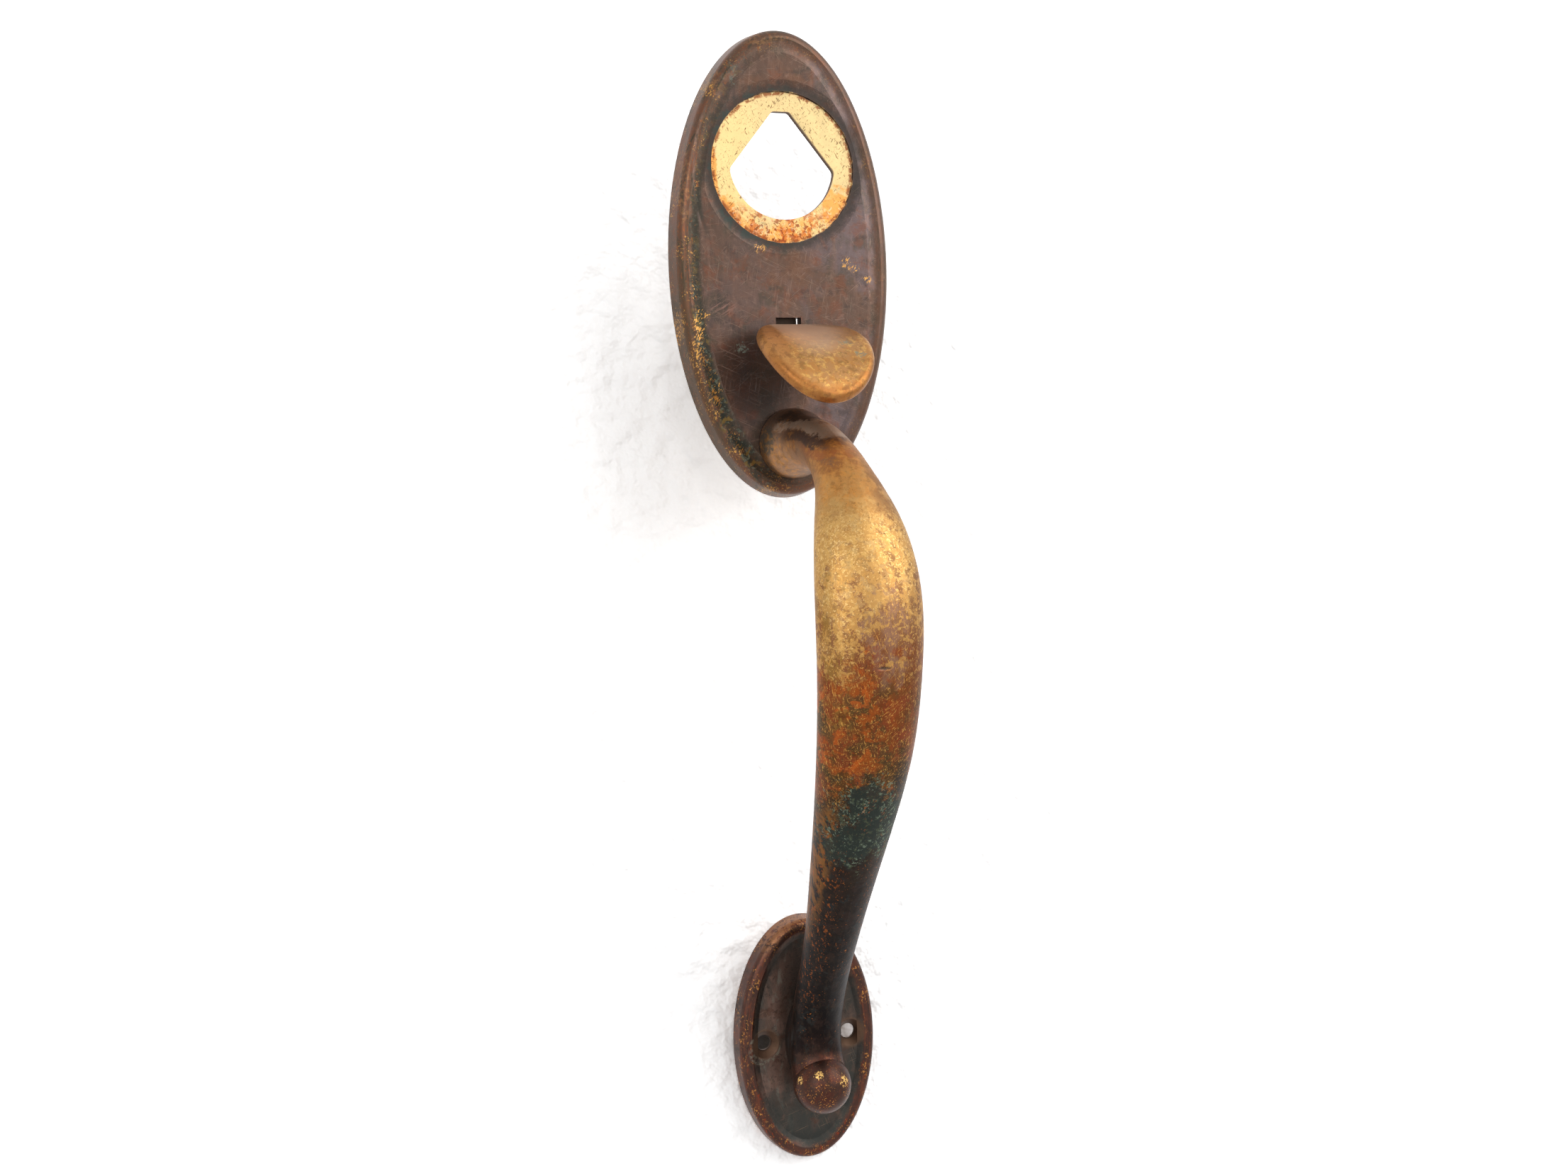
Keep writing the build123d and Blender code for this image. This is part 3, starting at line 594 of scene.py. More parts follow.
@dataclass(frozen=True)
class GripFinish(Finish):
    """Bronze of the grip: golden where hands have worn it, red-brown and dark lower down, with verdigris."""

    name: str = "grip_patina"
    top_z: float = -43.0
    bottom_z: float = -257.0
    ground: Tone = tone(150, 104, 60, 0.4)
    bands: tuple[tuple[float, Colour], ...] = (
        (-44, hue(122, 92, 72)),
        (-57, hue(166, 108, 56)),
        (-65, hue(196, 138, 74)),
        (-76, hue(190, 142, 82)),
        (-86, hue(184, 140, 86)),
        (-96, hue(158, 112, 72)),
        (-106, hue(140, 90, 60)),
        (-118, hue(132, 76, 38)),
        (-134, hue(112, 62, 26)),
        (-146, hue(86, 60, 31)),
        (-156, hue(54, 42, 30)),
        (-178, hue(42, 31, 25)),
        (-202, hue(32, 26, 24)),
        (-226, hue(20, 14, 14)),
        (-240, hue(38, 25, 22)),
        (-248, hue(68, 48, 40)),
    )

    def lay(self, look: Look) -> None:
        """Lays the layers on, the lowest first."""
        height = look.plus(look.z, look.wobble(80.0, 11, 8, 0.75, 0.6))
        self.length_tones(look, height)
        self.boss(look)
        self.wear(look, height)
        self.copper(look, height)
        self.lower_part(look, height)
        self.verdigris(look)
        self.ball(look)
        self.relief(look)

    def length_tones(self, look: Look, height: Number) -> None:
        """Tones along the grip, with ragged limits."""
        along = look.fade_linear(height, self.bottom_z, self.top_z)
        length = self.top_z - self.bottom_z
        bands = [((z - self.bottom_z) / length, colour) for z, colour in reversed(self.bands)]
        look.colour = look.banded(along, bands)

    def boss(self, look: Look) -> None:
        """Greyish boss with painted reflections of the thumb piece and its shadow as dark bands with a pale band
        between, a tan worn place low on its left and a dark joint line.
        """
        near = look.both(look.on_y(-27, -19), look.on_z(-90, -75))
        look.coat(tone(128, 102, 84, 0.34, 0.8), 0.85, near)
        # painted reflections on the boss: a pale band with dark bands above and below it, where the thumb piece and
        # its shadow would be mirrored
        level = look.plus(look.z, look.on_y(-28, -46, 0.0, 3.4), look.wobble(5, 3, 6, 0.7))
        left = look.on_x(6, 2)
        pale = look.both(look.strip(level, -50.3, -47.4), look.on_y(-47, -43), left)
        look.coat(tone(196, 170, 148, 0.36, 0.8), 0.8, pale, look.on_y(-15, -18))
        above = look.both(look.strip(level, -47.6, -42), look.on_y(-34, -29))
        below = look.both(look.strip(level, -53.4, -50.4), look.on_y(-50, -44), left)
        look.coat(tone(62, 46, 37, 0.38, 0.75), 0.9, above, look.on_y(-13, -16))
        look.coat(tone(72, 50, 40, 0.38, 0.75), 0.9, below, look.on_y(-21, -25))
        russet = look.both(look.strip(level, -56, -53.4), look.on_y(-33, -38), left)
        look.coat(tone(172, 102, 52, 0.38, 0.85), 0.7, russet)
        worn = look.both(
            look.fade(look.distance((-6, -22, -60), (8, 18, 7)), 1.2, 0.6), look.mottle(4, 0.34, 0.5, 1.9)
        )
        look.coat(tone(176, 130, 92), 0.85, worn)
        look.patches(tone(150, 104, 70), 0.5, near, 1.6, 0.5, 0.62, 2.9)
        grey = look.spot(Spot((-9.4, -13, -53), (4, 5, 4), 0.6, 0.4))
        look.coat(tone(70, 72, 64, 0.4, 0.6), 0.75, grey)
        look.coat(tone(34, 28, 26, 0.6, 0.3), 0.9, look.on_y(-9.6, -8.9))

    def wear(self, look: Look, height: Number) -> None:
        """Golden wear over the swelling, the flakes of it that are left lower down, and a painted pinkish reflection
        streak down the middle.
        """
        neck = look.stretch(height, -76, -54)
        look.patches(tone(212, 146, 72, 0.38, 0.9), 0.55, neck, 1.8, 0.48, 0.6, 0.4)
        look.patches(tone(150, 104, 52, 0.4, 0.8), 0.6, neck, 2.6, 0.46, 0.36, 0.9)
        golden = look.stretch(look.z, -102, -70, 9)
        look.patches(tone(184, 142, 82), 0.55, golden, 6, 0.46, 0.58, 1.3)
        look.patches(tone(214, 174, 112, 0.37, 0.95), 0.6, golden, 3, 0.44, 0.56, 1.8)
        look.patches(tone(156, 112, 62, 0.42, 0.8), 0.7, golden, 1.2, 0.45, 0.35, 2.3)
        side = look.both(look.stretch(height, -112, -62), look.on_x(-2, 6))
        look.patches(tone(140, 98, 62, 0.52), 0.75, side, 4, 0.36, 0.54, 2.8)
        # painted reflection: a pinkish-brown upright streak down the middle of the grip
        middle = look.both(look.stretch(height, -122, -92), look.spot(Spot((1, 0, -108), (7, 0, 15), 0.5, 0.3)))
        look.patches(tone(160, 120, 98, 0.36), 0.6, middle, 3, 0.4, 0.56, 3.3, (1, 1, 2))
        olive = look.both(look.stretch(height, -134, -100), look.on_x(-6.5, -10))
        look.patches(tone(164, 124, 58), 0.7, olive, 2.2, 0.42, 0.56, 3.8, (1, 1, 3))
        reach = look.plus(height, look.on_x(-1, -10, 0.0, 13), look.on_x(2, 8, 0.0, 7))
        left_over = look.fade_linear(reach, -121, -77)
        share = look.both(left_over, 0.18)
        begun = look.both(look.on_z(-70, -82), look.fade(left_over, 0.02, 0.2))
        for size, rare, seed, layer in (
            (2.4, 0.62, 4.8, tone(204, 154, 86, 0.42, 0.9)),
            (1.3, 0.69, 5.3, tone(220, 174, 102, 0.42, 0.9)),
            (0.6, 0.73, 5.9, tone(240, 202, 134, 0.38, 0.95)),
        ):
            grain = look.pattern(size, seed, (1, 1, 1), 0.0, 5.0, 0.62, 0.3)
            flakes = look.fade(look.plus(grain, share), rare, rare + 0.03)
            look.coat(layer, 0.75, flakes, begun)
        look.specks(tone(104, 72, 42, 0.5, 0.6), 0.6, look.on_z(-140, -125), 0.5, 0.63, 5.8)

    def copper(self, look: Look, height: Number) -> None:
        """Red-brown middle with orange patches, mostly on the left, and feathery golden streaks."""
        middle = look.stretch(height, -150, -112)
        look.patches(tone(142, 68, 38), 0.65, middle, 7, 0.46, 0.57, 0.6, grain=0.55)
        olive = look.both(look.stretch(look.z, -146, -121), look.mottle(9, 0.48, 0.56, 1.1, (1, 1, 1.6), grain=0.55))
        look.coat(tone(86, 68, 38, 0.42, 0.8), 0.75, olive)
        zone = look.both(look.stretch(height, -144, -115, 8), look.on_x(8, -6, 0.15, 1.0))
        look.patches(tone(168, 84, 32, 0.4, 0.9), 0.8, zone, 6, 0.5, 0.55, 1.6, grain=0.52)
        bright = look.both(zone, look.mottle(3.6, 0.52, 0.57, 2.1, grain=0.52), look.mottle(9, 0.47, 0.55, 2.4))
        look.coat(tone(198, 98, 38, 0.4, 0.9), 0.65, bright)
        look.specks(tone(152, 54, 26, 0.42, 0.85), 0.6, middle, 0.8, 0.62, 2.6)
        dark = look.stretch(height, -158, -112)
        look.specks(tone(46, 34, 22, 0.5, 0.6), 0.45, dark, 0.5, 0.61, 3.1, (1, 1, 7))
        look.patches(tone(60, 42, 24, 0.5, 0.6), 0.4, dark, 1.8, 0.43, 0.33, 3.6, (1, 1, 2))
        feathers = look.either(
            look.flecks(0.45, 0.6, 4.1, (1, 1, 4), 14), look.flecks(0.4, 0.61, 4.6, (1, 1, 4), -50),
            look.hairlines((40, 6, 0.2, 0.66), (100, 7, 0.18, 0.67)),
        )
        look.coat(tone(228, 168, 88, 0.34, 1.0), 0.65, look.stretch(height, -158, -96), feathers)

    def lower_part(self, look: Look, height: Number) -> None:
        """Dark lower half with golden and orange streaks along its left edge and flecks on it."""
        lower = look.fade(height, -150, -162)
        look.patches(tone(52, 34, 27, 0.4, 0.75), 0.6, lower, 4, 0.5, 0.6, 0.3)
        look.patches(tone(54, 41, 30, 0.4, 0.8), 0.5, lower, 1.3, 0.5, 0.64, 0.8, (1, 1, 5))
        look.patches(tone(24, 26, 24, 0.45, 0.5), 0.8, lower, 3, 0.46, 0.36, 1.3)
        left = look.both(look.stretch(height, -196, -158), look.on_x(-6.6, -9.2))
        look.patches(tone(146, 96, 44, 0.4, 0.85), 0.75, left, 2.4, 0.42, 0.52, 1.8, (1, 1, 2.4))
        wide = look.both(look.stretch(height, -214, -158), look.on_x(-2, -7))
        look.specks(tone(172, 92, 38, 0.4, 0.9), 0.7, wide, 0.8, 0.58, 2.3, (1, 1, 2))
        right = look.both(look.stretch(height, -212, -166), look.on_x(2, 6))
        look.specks(tone(150, 88, 42, 0.4, 0.9), 0.7, right, 0.6, 0.58, 2.8, (1, 1, 1.6))
        clusters = look.fade(look.cloud(6, 5, 0.7), 0.5, 0.6)
        flecks = look.flecks(0.5, 0.62, 3.3, (1.4, 1, 1))
        look.coat(tone(196, 116, 54, 0.38, 0.95), 0.8, look.stretch(height, -240, -160), flecks, clusters)
        side = look.both(look.on_x(-7.6, -8.6), look.stretch(look.z, -240, -212))
        look.coat(tone(76, 58, 50, 0.36, 0.75), 0.4, side)

    def verdigris(self, look: Look) -> None:
        """Green-black patch with a pale crust of fine curls, ragged all round and larger on the right."""
        patch = look.either(
            look.spot(Spot((-1.5, -64, -155), (6, 9, 7), 0.8, 0.4)),
            look.spot(Spot((5, -60, -161), (8, 11, 9), 0.8, 0.35)),
            look.spot(Spot((-4, -56, -166), (9, 10, 6), 0.9, 0.35)),
        )
        look.coat(tone(24, 38, 30, 0.5, 0.4), 0.92, patch)
        halo = look.spot(Spot((1, -60, -160), (14, 17, 14), 0.8, 0.35))
        look.patches(tone(84, 92, 66, 0.6, 0.4), 0.65, halo, 1.6, 0.53, 0.62, 0.7)
        curls = look.either(look.flecks(0.8, 0.57, 1.2, (1.6, 1, 1)), look.flecks(0.6, 0.58, 1.7, (1, 1, 2)))
        crusted = look.both(halo, look.mottle(5, 0.47, 0.57, 2.2))
        look.coat(tone(138, 154, 130, 0.72, 0.1), 0.75, crusted, curls)
        bare = look.both(patch, look.mottle(6, 0.5, 0.6, 2.7), look.flecks(0.8, 0.58, 3.2))
        look.coat(tone(168, 100, 58, 0.4, 0.9), 0.7, bare)

    def ball(self, look: Look) -> None:
        """Red-brown ball with bright worn specks."""
        ball = look.fade(look.distance((0, -17, -247.5), (9.6, 9.6, 9.6)), 1.2, 0.92)
        look.coat(tone(78, 54, 46, 0.34, 0.85), 0.8, ball)
        look.patches(tone(86, 48, 38, 0.34, 0.85), 0.7, ball, 4, 0.46, 0.58, 0.2)
        look.patches(tone(112, 66, 48, 0.34, 0.9), 0.4, ball, 1.5, 0.5, 0.62, 0.7)
        specks = look.both(look.flecks(0.5, 0.59, 1.2), look.on_z(-242, -247, 0.3, 1.0))
        look.patches(tone(226, 152, 78, 0.32, 1.0), 0.85, look.both(ball, specks), 5, 0.44, 0.54, 1.7)
        for centre, size in (((4.8, -24, -244.9), 1.7), ((-3.4, -23.4, -242.1), 1.3), ((-7.9, -19.3, -244.5), 1.2)):
            bright = look.both(look.spot(Spot(centre, (size, size, size), 0.8, 0.5)), look.flecks(0.6, 0.47, 2.2))
            look.coat(tone(250, 200, 120, 0.3, 1.0), 0.95, bright)

    def relief(self, look: Look) -> None:
        """Cast and worn relief, small dents and pits, and one larger dent, coloured dull grey-brown."""
        look.raise_by(look.cloud(1.1, 6, 0.65), 0.04)
        look.raise_by(look.cloud(9, 4, 0.55), 0.22)
        look.raise_by(look.mottle(2.6, 0.36, 0.28, 5.9), -0.08)
        dent = look.fade(look.distance((0, -76.3, -115.8), (2.2, 4, 0.6)), 1.2, 0.2)
        look.raise_by(dent, -0.35)
        look.coat(tone(78, 70, 62, 0.4, 0.6), 0.7, dent)


@dataclass(frozen=True)
class ThumbFinish(Finish):
    """Warm worn bronze of the thumb piece, darker on its left lobe, with a painted pale reflection behind."""

    name: str = "thumb_patina"
    ground: Tone = tone(190, 140, 88, 0.38, 0.9)

    def lay(self, look: Look) -> None:
        """Lays the layers on, the lowest first."""
        self.worn_face(look)
        self.sheen(look)
        self.lobes(look)
        self.hidden_side(look)
        look.raise_by(look.cloud(1.0, 6, 0.65), 0.04)
        look.raise_by(look.cloud(8, 3, 0.5), 0.2)

    def sheen(self, look: Look) -> None:
        """Painted reflections: a pale pinkish sheen that fans out towards the plate, and a darker patch at its back
        right corner.
        """
        # painted reflection of the white surroundings, pale pinkish
        painted_reflection_mask = look.fade(look.distance((0, -14, -16), (14, 37, 19)), 1.1, 0.5)
        look.coat(tone(232, 200, 172, 0.36, 0.8), 0.88, painted_reflection_mask, look.on_x(-10.5, -9))
        # painted darker reflection at the back right corner
        painted_dark_reflection = look.fade(look.distance((11, -18, -19.5), (8, 6, 3.5)), 1.2, 0.5)
        look.coat(tone(150, 118, 88, 0.4, 0.8), 0.7, painted_dark_reflection)

    def worn_face(self, look: Look) -> None:
        """Fine golden and coppery mottling of the face, with small spots."""
        face = look.on_y(-19, -31, 0.25, 1.0)
        look.patches(tone(196, 136, 72, 0.36, 0.92), 0.7, face, 5, 0.44, 0.58, 0.3)
        look.patches(tone(230, 180, 102, 0.34, 0.95), 0.75, face, 1.6, 0.5, 0.6, 0.8)
        look.patches(tone(148, 108, 60, 0.42, 0.8), 0.65, face, 2.2, 0.48, 0.38, 1.3)
        look.specks(tone(206, 128, 62, 0.36, 0.95), 0.6, face, 0.6, 0.62, 1.8)
        look.specks(tone(110, 92, 58, 0.5, 0.5), 0.6, face, 0.45, 0.65, 2.3)
        for centre, size in (((8.1, -33.9, -25.8), 1.3), ((11.0, -37.7, -30.0), 1.2), ((12.6, -41, -36), 0.7)):
            stain_and_painted_shade = look.spot(Spot(centre, (size * 1.5, size, size), 0.9, 0.5))
            look.patches(tone(138, 140, 118, 0.6, 0.3), 0.8, stain_and_painted_shade, 0.8, 0.42, 0.56, 2.8)

    def lobes(self, look: Look) -> None:
        """Darker rounded left side, and the orange lower rim with its dark specks."""
        side = look.both(look.on_x(-8.5, -11), look.on_y(-52, -34))
        look.coat(tone(190, 132, 76, 0.42, 0.85), 0.85, side)
        look.patches(tone(138, 94, 54, 0.44, 0.8), 0.6, side, 2.2, 0.5, 0.6, 3.4)
        look.specks(tone(216, 156, 88, 0.36, 0.95), 0.6, side, 0.6, 0.6, 3.9)
        under = look.fade(look.distance((0, -28, -27), (16.2, 24, 19.4)), 0.93, 1.02)
        low = look.both(under, look.on_z(-27, -33))
        look.coat(tone(166, 104, 50, 0.38, 0.9), 0.7, low)
        look.patches(tone(112, 76, 42, 0.45, 0.7), 0.4, low, 2.0, 0.52, 0.6, 4.4)

    def hidden_side(self, look: Look) -> None:
        """Dull dark shank, hub and tail."""
        look.coat(tone(50, 38, 30, 0.55, 0.5), 0.92, look.on_y(-12, -9.5))
        worn = look.both(look.on_y(4, 14), look.mottle(5, 0.45, 0.6, 4.9))
        look.coat(tone(122, 90, 56, 0.42, 0.8), 0.7, worn)


@dataclass(frozen=True)
class LowerRoseFinish(Finish):
    """Red-brown rim, dark dished field and brown countersinks of the lower rose."""

    name: str = "lower_rose_patina"
    centre_z: float = -237.1
    half_width: float = 22.5
    half_height: float = 38.0
    rim_width: float = 4.6
    hollow_depth: float = 2.3
    hole_spacing: float = 27.6
    ground: Tone = tone(82, 69, 62, 0.38, 0.72)

    def lay(self, look: Look) -> None:
        """Lays the layers on, the lowest first."""
        self.field(look)
        self.rim(look)
        self.countersinks(look)
        cast_back(look, self.centre_z, self.half_width, self.half_height, self.hollow_depth)
        look.raise_by(look.cloud(1.2, 5, 0.6), 0.04)
        look.raise_by(look.cloud(10, 3, 0.5), 0.25)

    def field(self, look: Look) -> None:
        """Dark grey-green and brown field, smeared upright."""
        left = look.on_x(-2, -10)
        look.coat(tone(142, 110, 96, 0.38, 0.75), 0.65, left)
        look.coat(tone(60, 60, 54, 0.4, 0.6), 0.6, look.mottle(8, 0.46, 0.56, 0.5, (1, 1, 2)))
        look.coat(tone(108, 84, 72, 0.38, 0.75), 0.6, look.mottle(3, 0.5, 0.62, 1.0, (1, 1, 3)))
        look.patches(tone(134, 132, 120, 0.5, 0.5), 0.55, left, 2.4, 0.54, 0.66, 1.5, (1, 1, 3))
        look.coat(tone(46, 38, 34, 0.45, 0.6), 0.6, look.mottle(1.4, 0.46, 0.34, 2.0))
        look.coat(tone(90, 58, 44, 0.4, 0.75), 0.6, look.mottle(5, 0.54, 0.64, 2.5))
        low = look.both(look.on_z(-238, -262), look.mottle(9, 0.38, 0.52, 3.5))
        look.coat(tone(54, 58, 54, 0.4, 0.6), 0.75, low)
        lines = look.hairlines((16, 8, 0.2, 0.67), (-70, 8, 0.2, 0.68))
        look.coat(tone(150, 122, 100, 0.3, 1.0), 0.5, lines)

    def rim(self, look: Look) -> None:
        """Convex rim with golden specks, a dark line inside it and a worn top."""
        exact = look.distance(
            (0, 0, self.centre_z), (self.half_width - self.rim_width, 0, self.half_height - self.rim_width)
        )
        inside = look.plus(exact, look.wobble(0.12, 5, 6, 0.7))
        rim = look.fade(inside, 0.98, 1.04)
        around = look.paired(look.both(exact, 16.0), look.both(look.z, 1 / 6))
        bands = look.cloud(1000.0, 7, 0.68, 0.5, around)
        look.coat(tone(84, 55, 47, 0.34), 0.9, rim)
        look.coat(tone(118, 68, 50, 0.36), 0.7, rim, look.fade(bands, 0.5, 0.6))
        look.coat(tone(56, 44, 38, 0.4, 0.7), 0.7, rim, look.fade(bands, 0.47, 0.39))
        line = look.both(look.fade(inside, 0.84, 0.94), look.fade(inside, 1.03, 0.94), look.mottle(6, 0.4, 0.54, 3.0))
        look.coat(tone(44, 46, 43, 0.45, 0.5), 0.7, line)
        clusters = look.fade(look.cloud(6, 5, 0.7), 0.46, 0.58)
        look.coat(tone(204, 140, 76, 0.34, 1.0), 0.85, rim, look.flecks(0.5, 0.56, 3.5, (1, 1, 1.5)), clusters)
        low = look.on_z(-236, -256, 0.2, 1.0)
        look.coat(tone(146, 62, 36, 0.4, 0.85), 0.7, rim, look.flecks(1.0, 0.6, 4.0, (1, 1, 1.6)), low)
        worn = look.both(
            look.fade(look.distance((-8, 0, -202), (14, 0, 9)), 1.15, 0.4), look.fade(inside, 1.04, 1.12)
        )
        look.patches(tone(160, 112, 78, 0.36, 0.9), 0.7, worn, 1.6, 0.4, 0.54, 4.5)

    def countersinks(self, look: Look) -> None:
        """Brown countersinks with a pale crust at the lower left edge of the left one."""
        for side in (-1, 1):
            hole = look.distance((side * self.hole_spacing / 2, 0, self.centre_z), (4.4, 0, 4.4))
            look.coat(tone(110, 82, 62, 0.48, 0.7), 0.85, look.fade(hole, 1.25, 0.85))
            deep = look.both(look.fade(hole, 1.0, 0.9), look.on_y(-3.6, -3.0))
            look.coat(tone(58, 46, 40, 0.5, 0.6), 0.8, deep)
        crescent = look.both(
            look.fade(look.distance((-13.8, 0, self.centre_z), (5.0, 0, 5.0)), 0.86, 0.95),
            look.fade(look.distance((-14.4, 0, self.centre_z - 1.0), (5.2, 0, 5.2)), 1.08, 0.95),
            look.mottle(1.4, 0.42, 0.56, 5.0),
        )
        look.coat(tone(136, 132, 116, 0.6, 0.3), 0.6, crescent)


@dataclass(frozen=True)
class FixingFinish(Finish):
    """Dull turned brass of the screws, the washer and the pin."""

    name: str = "fixing_brass"
    ground: Tone = tone(168, 134, 78, 0.38, 0.95)

    def lay(self, look: Look) -> None:
        """Lays the layers on, the lowest first."""
        look.coat(tone(110, 84, 50, 0.5, 0.7), 0.8, look.fade(look.cloud(3, 6, 0.7), 0.45, 0.62))
        look.coat(tone(92, 110, 92, 0.75, 0.1), 0.5, look.fade(look.cloud(1.2, 5, 0.7), 0.6, 0.68))
        look.raise_by(look.cloud(0.6, 4, 0.6), 0.02)


@dataclass
class HandleDressing:
    """Gives every piece of the CAD model its finish."""

    nodes: dict[str, bpy.types.Object]

    def dress(self) -> None:
        """Puts the finishes into the pieces' material slots."""
        finishes = {
            UpperPlateFinish(): ("upper_plate",),
            LowerRoseFinish(): ("lower_rose",),
            GripFinish(): ("grip",),
            ThumbFinish(): ("thumb_lever",),
            FixingFinish(): ("pivot_pin", "upper_grip_screw", "upper_grip_washer", "lower_grip_screw"),
        }
        for finish, names in finishes.items():
            material = finish.build()
            for name in names:
                slots = self.nodes[name].material_slots
                for index in range(len(slots)):
                    slots[index].material = material
                log.info("%s has the finish %s", name, material.name)


@dataclass(frozen=True)
class PhotographersCamera:
    """The camera where the photograph was taken from, a little to the left of the handle."""

    place: Point = (-0.16688, -0.48197, -0.06839)
    yaw: float = 18.967
    pitch: float = -3.290
    roll: float = -1.869
    lens: float = 38.161

    def build(self) -> bpy.types.Object:
        """Makes the camera and makes it the scene's own."""
        yaw, pitch, roll = (math.radians(angle) for angle in (self.yaw, self.pitch, self.roll))
        ahead = Vector((math.sin(yaw) * math.cos(pitch), math.cos(yaw) * math.cos(pitch), math.sin(pitch)))
        level = Vector((math.cos(yaw), -math.sin(yaw), 0.0))
        upright = level.cross(ahead)
        right = math.cos(roll) * level + math.sin(roll) * upright
        up = math.cos(roll) * upright - math.sin(roll) * level
        data = bpy.data.cameras.new("photographers_camera")
        data.sensor_fit = "HORIZONTAL"
        data.sensor_width = 36.0
        data.lens = self.lens
        data.clip_start = 0.01
        camera = bpy.data.objects.new("photographers_camera", data)
        bpy.context.scene.collection.objects.link(camera)
        camera.matrix_world = Matrix.Translation(self.place) @ Matrix((right, up, -ahead)).transposed().to_4x4()
        bpy.context.scene.camera = camera
        return camera


@dataclass(frozen=True)
class SoftLamp:
    """A soft lamp: where it stands, what it faces, its width and height and its power."""

    name: str
    place: Point
    target: Point
    width: float
    height: float
    power: float

    def build(self) -> bpy.types.Object:
        """Makes the lamp."""
        data = bpy.data.lights.new(self.name, "AREA")
        data.shape = "RECTANGLE"
        data.size = self.width
        data.size_y = self.height
        data.energy = self.power
        lamp = bpy.data.objects.new(self.name, data)
        bpy.context.scene.collection.objects.link(lamp)
        lamp.location = self.place
        lamp.rotation_euler = (Vector(self.target) - Vector(self.place)).to_track_quat("-Z", "Y").to_euler()
        return lamp


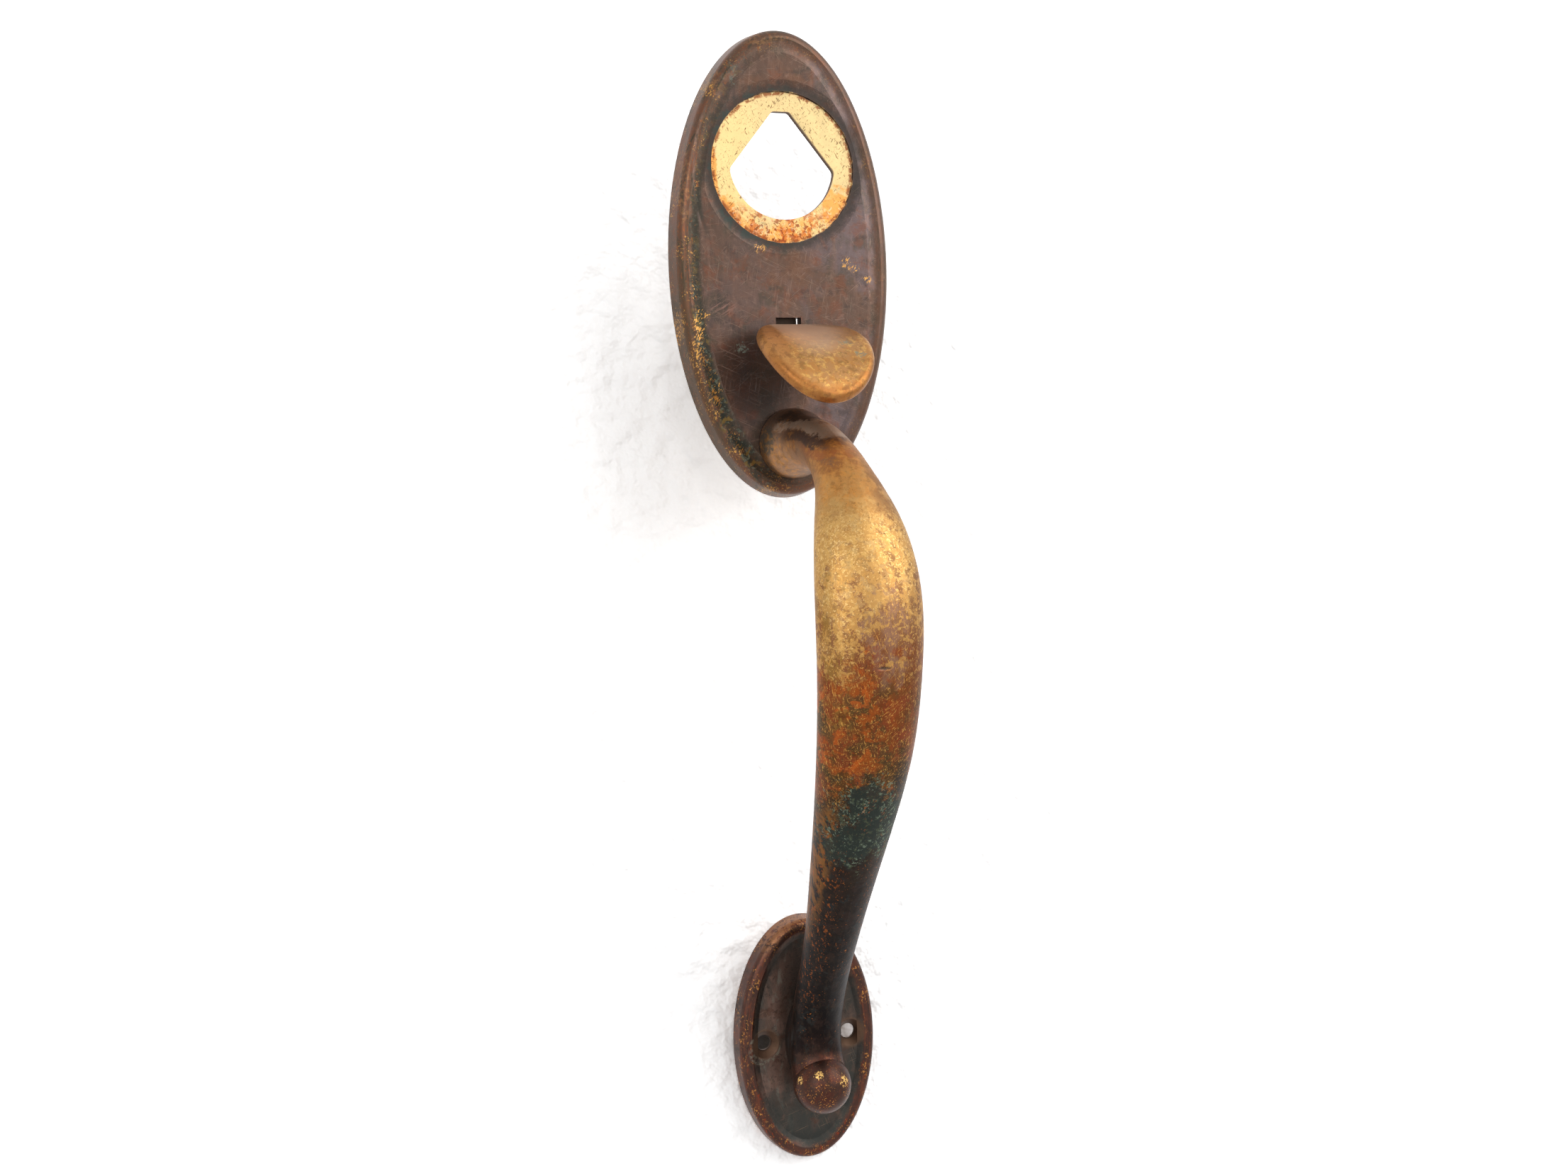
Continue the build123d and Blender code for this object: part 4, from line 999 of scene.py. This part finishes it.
@dataclass
class WhiteWall:
    """White wall that the loose handle leans on, touched by its tail and by the lower rose."""

    width: float = 6.0
    tail_reach: float = 0.0363
    tail_z: float = -0.0158
    rose_bottom_z: float = -0.2751
    reflectance: float = 0.9
    exposure: float = 2.0
    sheen_white: float = 0.3
    # painted shadow behind the left screw hole of the rose: its centre, the distances over which it fades and how
    # dark it gets
    painted_shadow_centre: Point = (-0.0116, 0.0359, 0.0)
    painted_shadow_reach: tuple[float, float] = (0.002, 0.013)
    spot_shade: float = 0.11
    grain: float = 130.0
    relief: float = 0.0028
    glow: float = 1.55

    def build(self) -> bpy.types.Object:
        """Makes the wall as a stage object."""
        bpy.ops.object.select_all(action="DESELECT")
        lean = math.atan2(self.tail_reach, self.tail_z - self.rose_bottom_z)
        bpy.ops.mesh.primitive_grid_add(
            x_subdivisions=8,
            y_subdivisions=8,
            size=self.width,
            location=(0, 0, self.rose_bottom_z),
            rotation=(math.radians(90) - lean, 0, 0),
        )
        wall = bpy.context.active_object
        wall.name = "white_wall"
        wall.data.materials.append(self.plaster())
        return wall

    def plaster(self) -> bpy.types.Material:
        """White plaster that keeps the handle's shadow, and lets views and light from behind it through.

        It has a painted shadow: the plaster is darker behind the left screw hole of the rose, so that the hole looks
        dark.
        """
        material = bpy.data.materials.new("white_plaster")
        tree = ShaderTree(material)
        place = tree.node("TexCoord")["Object"]
        grain = tree.node("TexNoise", {"Vector": place, "Scale": self.grain, "Detail": 3})["Fac"]
        bump = tree.node("Bump", {"Height": grain, "Distance": self.relief, "Strength": 1.0})[0]
        rays = tree.node("LightPath")
        bright = self.reflectance * self.exposure
        paint = tree.mixed(rays["Is Camera Ray"], (self.reflectance,) * 3, (bright,) * 3)
        # painted shadow: the plaster's colour is scaled down round that centre
        away = tree.node("VectorMath", {0: place, 1: self.painted_shadow_centre}, operation="DISTANCE")["Value"]
        painted_shadow_share = tree.fade(away, *self.painted_shadow_reach, self.spot_shade)
        shadowed_paint = tree.node("VectorMath", {0: paint, "Scale": painted_shadow_share}, operation="SCALE")[0]
        matt = tree.node("BsdfDiffuse", {"Color": shadowed_paint, "Normal": bump})[0]
        glow = tree.node("Emission", {"Strength": self.glow})[0]
        clear_ray = tree.either(rays["Is Glossy Ray"], rays["Is Transmission Ray"])
        amount = tree.both(clear_ray, self.sheen_white)
        white = tree.node("MixShader", {"Fac": amount, 1: matt, 2: glow})[0]
        through = tree.either(tree.node("NewGeometry")["Backfacing"], rays["Is Shadow Ray"])
        open_side = tree.node("BsdfTransparent")[0]
        wall = tree.node("MixShader", {"Fac": through, 1: white, 2: open_side})[0]
        tree.node("OutputMaterial", {"Surface": wall})
        return material


@dataclass
class Studio:
    """White surroundings, soft lamps and the wall."""

    ambient: float = 0.5
    lamps: tuple[SoftLamp, ...] = (
        SoftLamp("key_lamp", (0.87, -0.74, 0.6), (0.0, 0.0, -0.08), 1.2, 1.2, 8.7),
        SoftLamp("fill_lamp", (-0.9, -1.0, 0.2), (0.0, 0.0, -0.1), 0.9, 0.9, 2.5),
        SoftLamp("back_lamp", (0.4, 1.2, 0.5), (0.0, 0.0, -0.1), 0.8, 0.8, 8.0),
        SoftLamp("left_window", (-0.96, -0.92, 0.58), (0.0, -0.07, -0.09), 0.12, 0.45, 0.8),
        SoftLamp("middle_window", (-0.25, -1.39, 0.5), (0.0, -0.07, -0.09), 0.12, 0.45, 0.7),
        SoftLamp("right_window", (0.54, -1.47, 0.1), (0.0, -0.07, -0.09), 0.12, 0.45, 0.25),
    )

    def build(self) -> None:
        """Makes the wall, the lamps and the world."""
        scene = bpy.context.scene
        scene.view_settings.view_transform = "Standard"
        WhiteWall().build()
        for lamp in self.lamps:
            lamp.build()
        self.surroundings(scene)

    def surroundings(self, scene: bpy.types.Scene) -> None:
        """Even white world, full to the camera and in reflections, and gentler as light.

        Args:
            scene: the scene that gets the world.
        """
        scene.world = bpy.data.worlds.new("white_surroundings")
        tree = ShaderTree(scene.world)
        rays = tree.node("LightPath")
        bright = tree.either(rays["Is Camera Ray"], rays["Is Transmission Ray"], rays["Is Glossy Ray"])
        level = tree.node("MapRange", {"Value": bright, "To Min": self.ambient, "To Max": 1.0})[0]
        white = tree.node("Background", {"Strength": level})[0]
        tree.node("OutputWorld", {"Surface": white})


def main() -> None:
    """Builds the handle's looks in order."""
    logging.basicConfig(level=logging.INFO, format="%(name)s: %(message)s")
    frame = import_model()
    PhotographersCamera().build()
    Studio().build()
    HandleDressing(frame["nodes"]).dress()
    log.info("the handle is dressed")


if __name__ == "__main__":
    main()
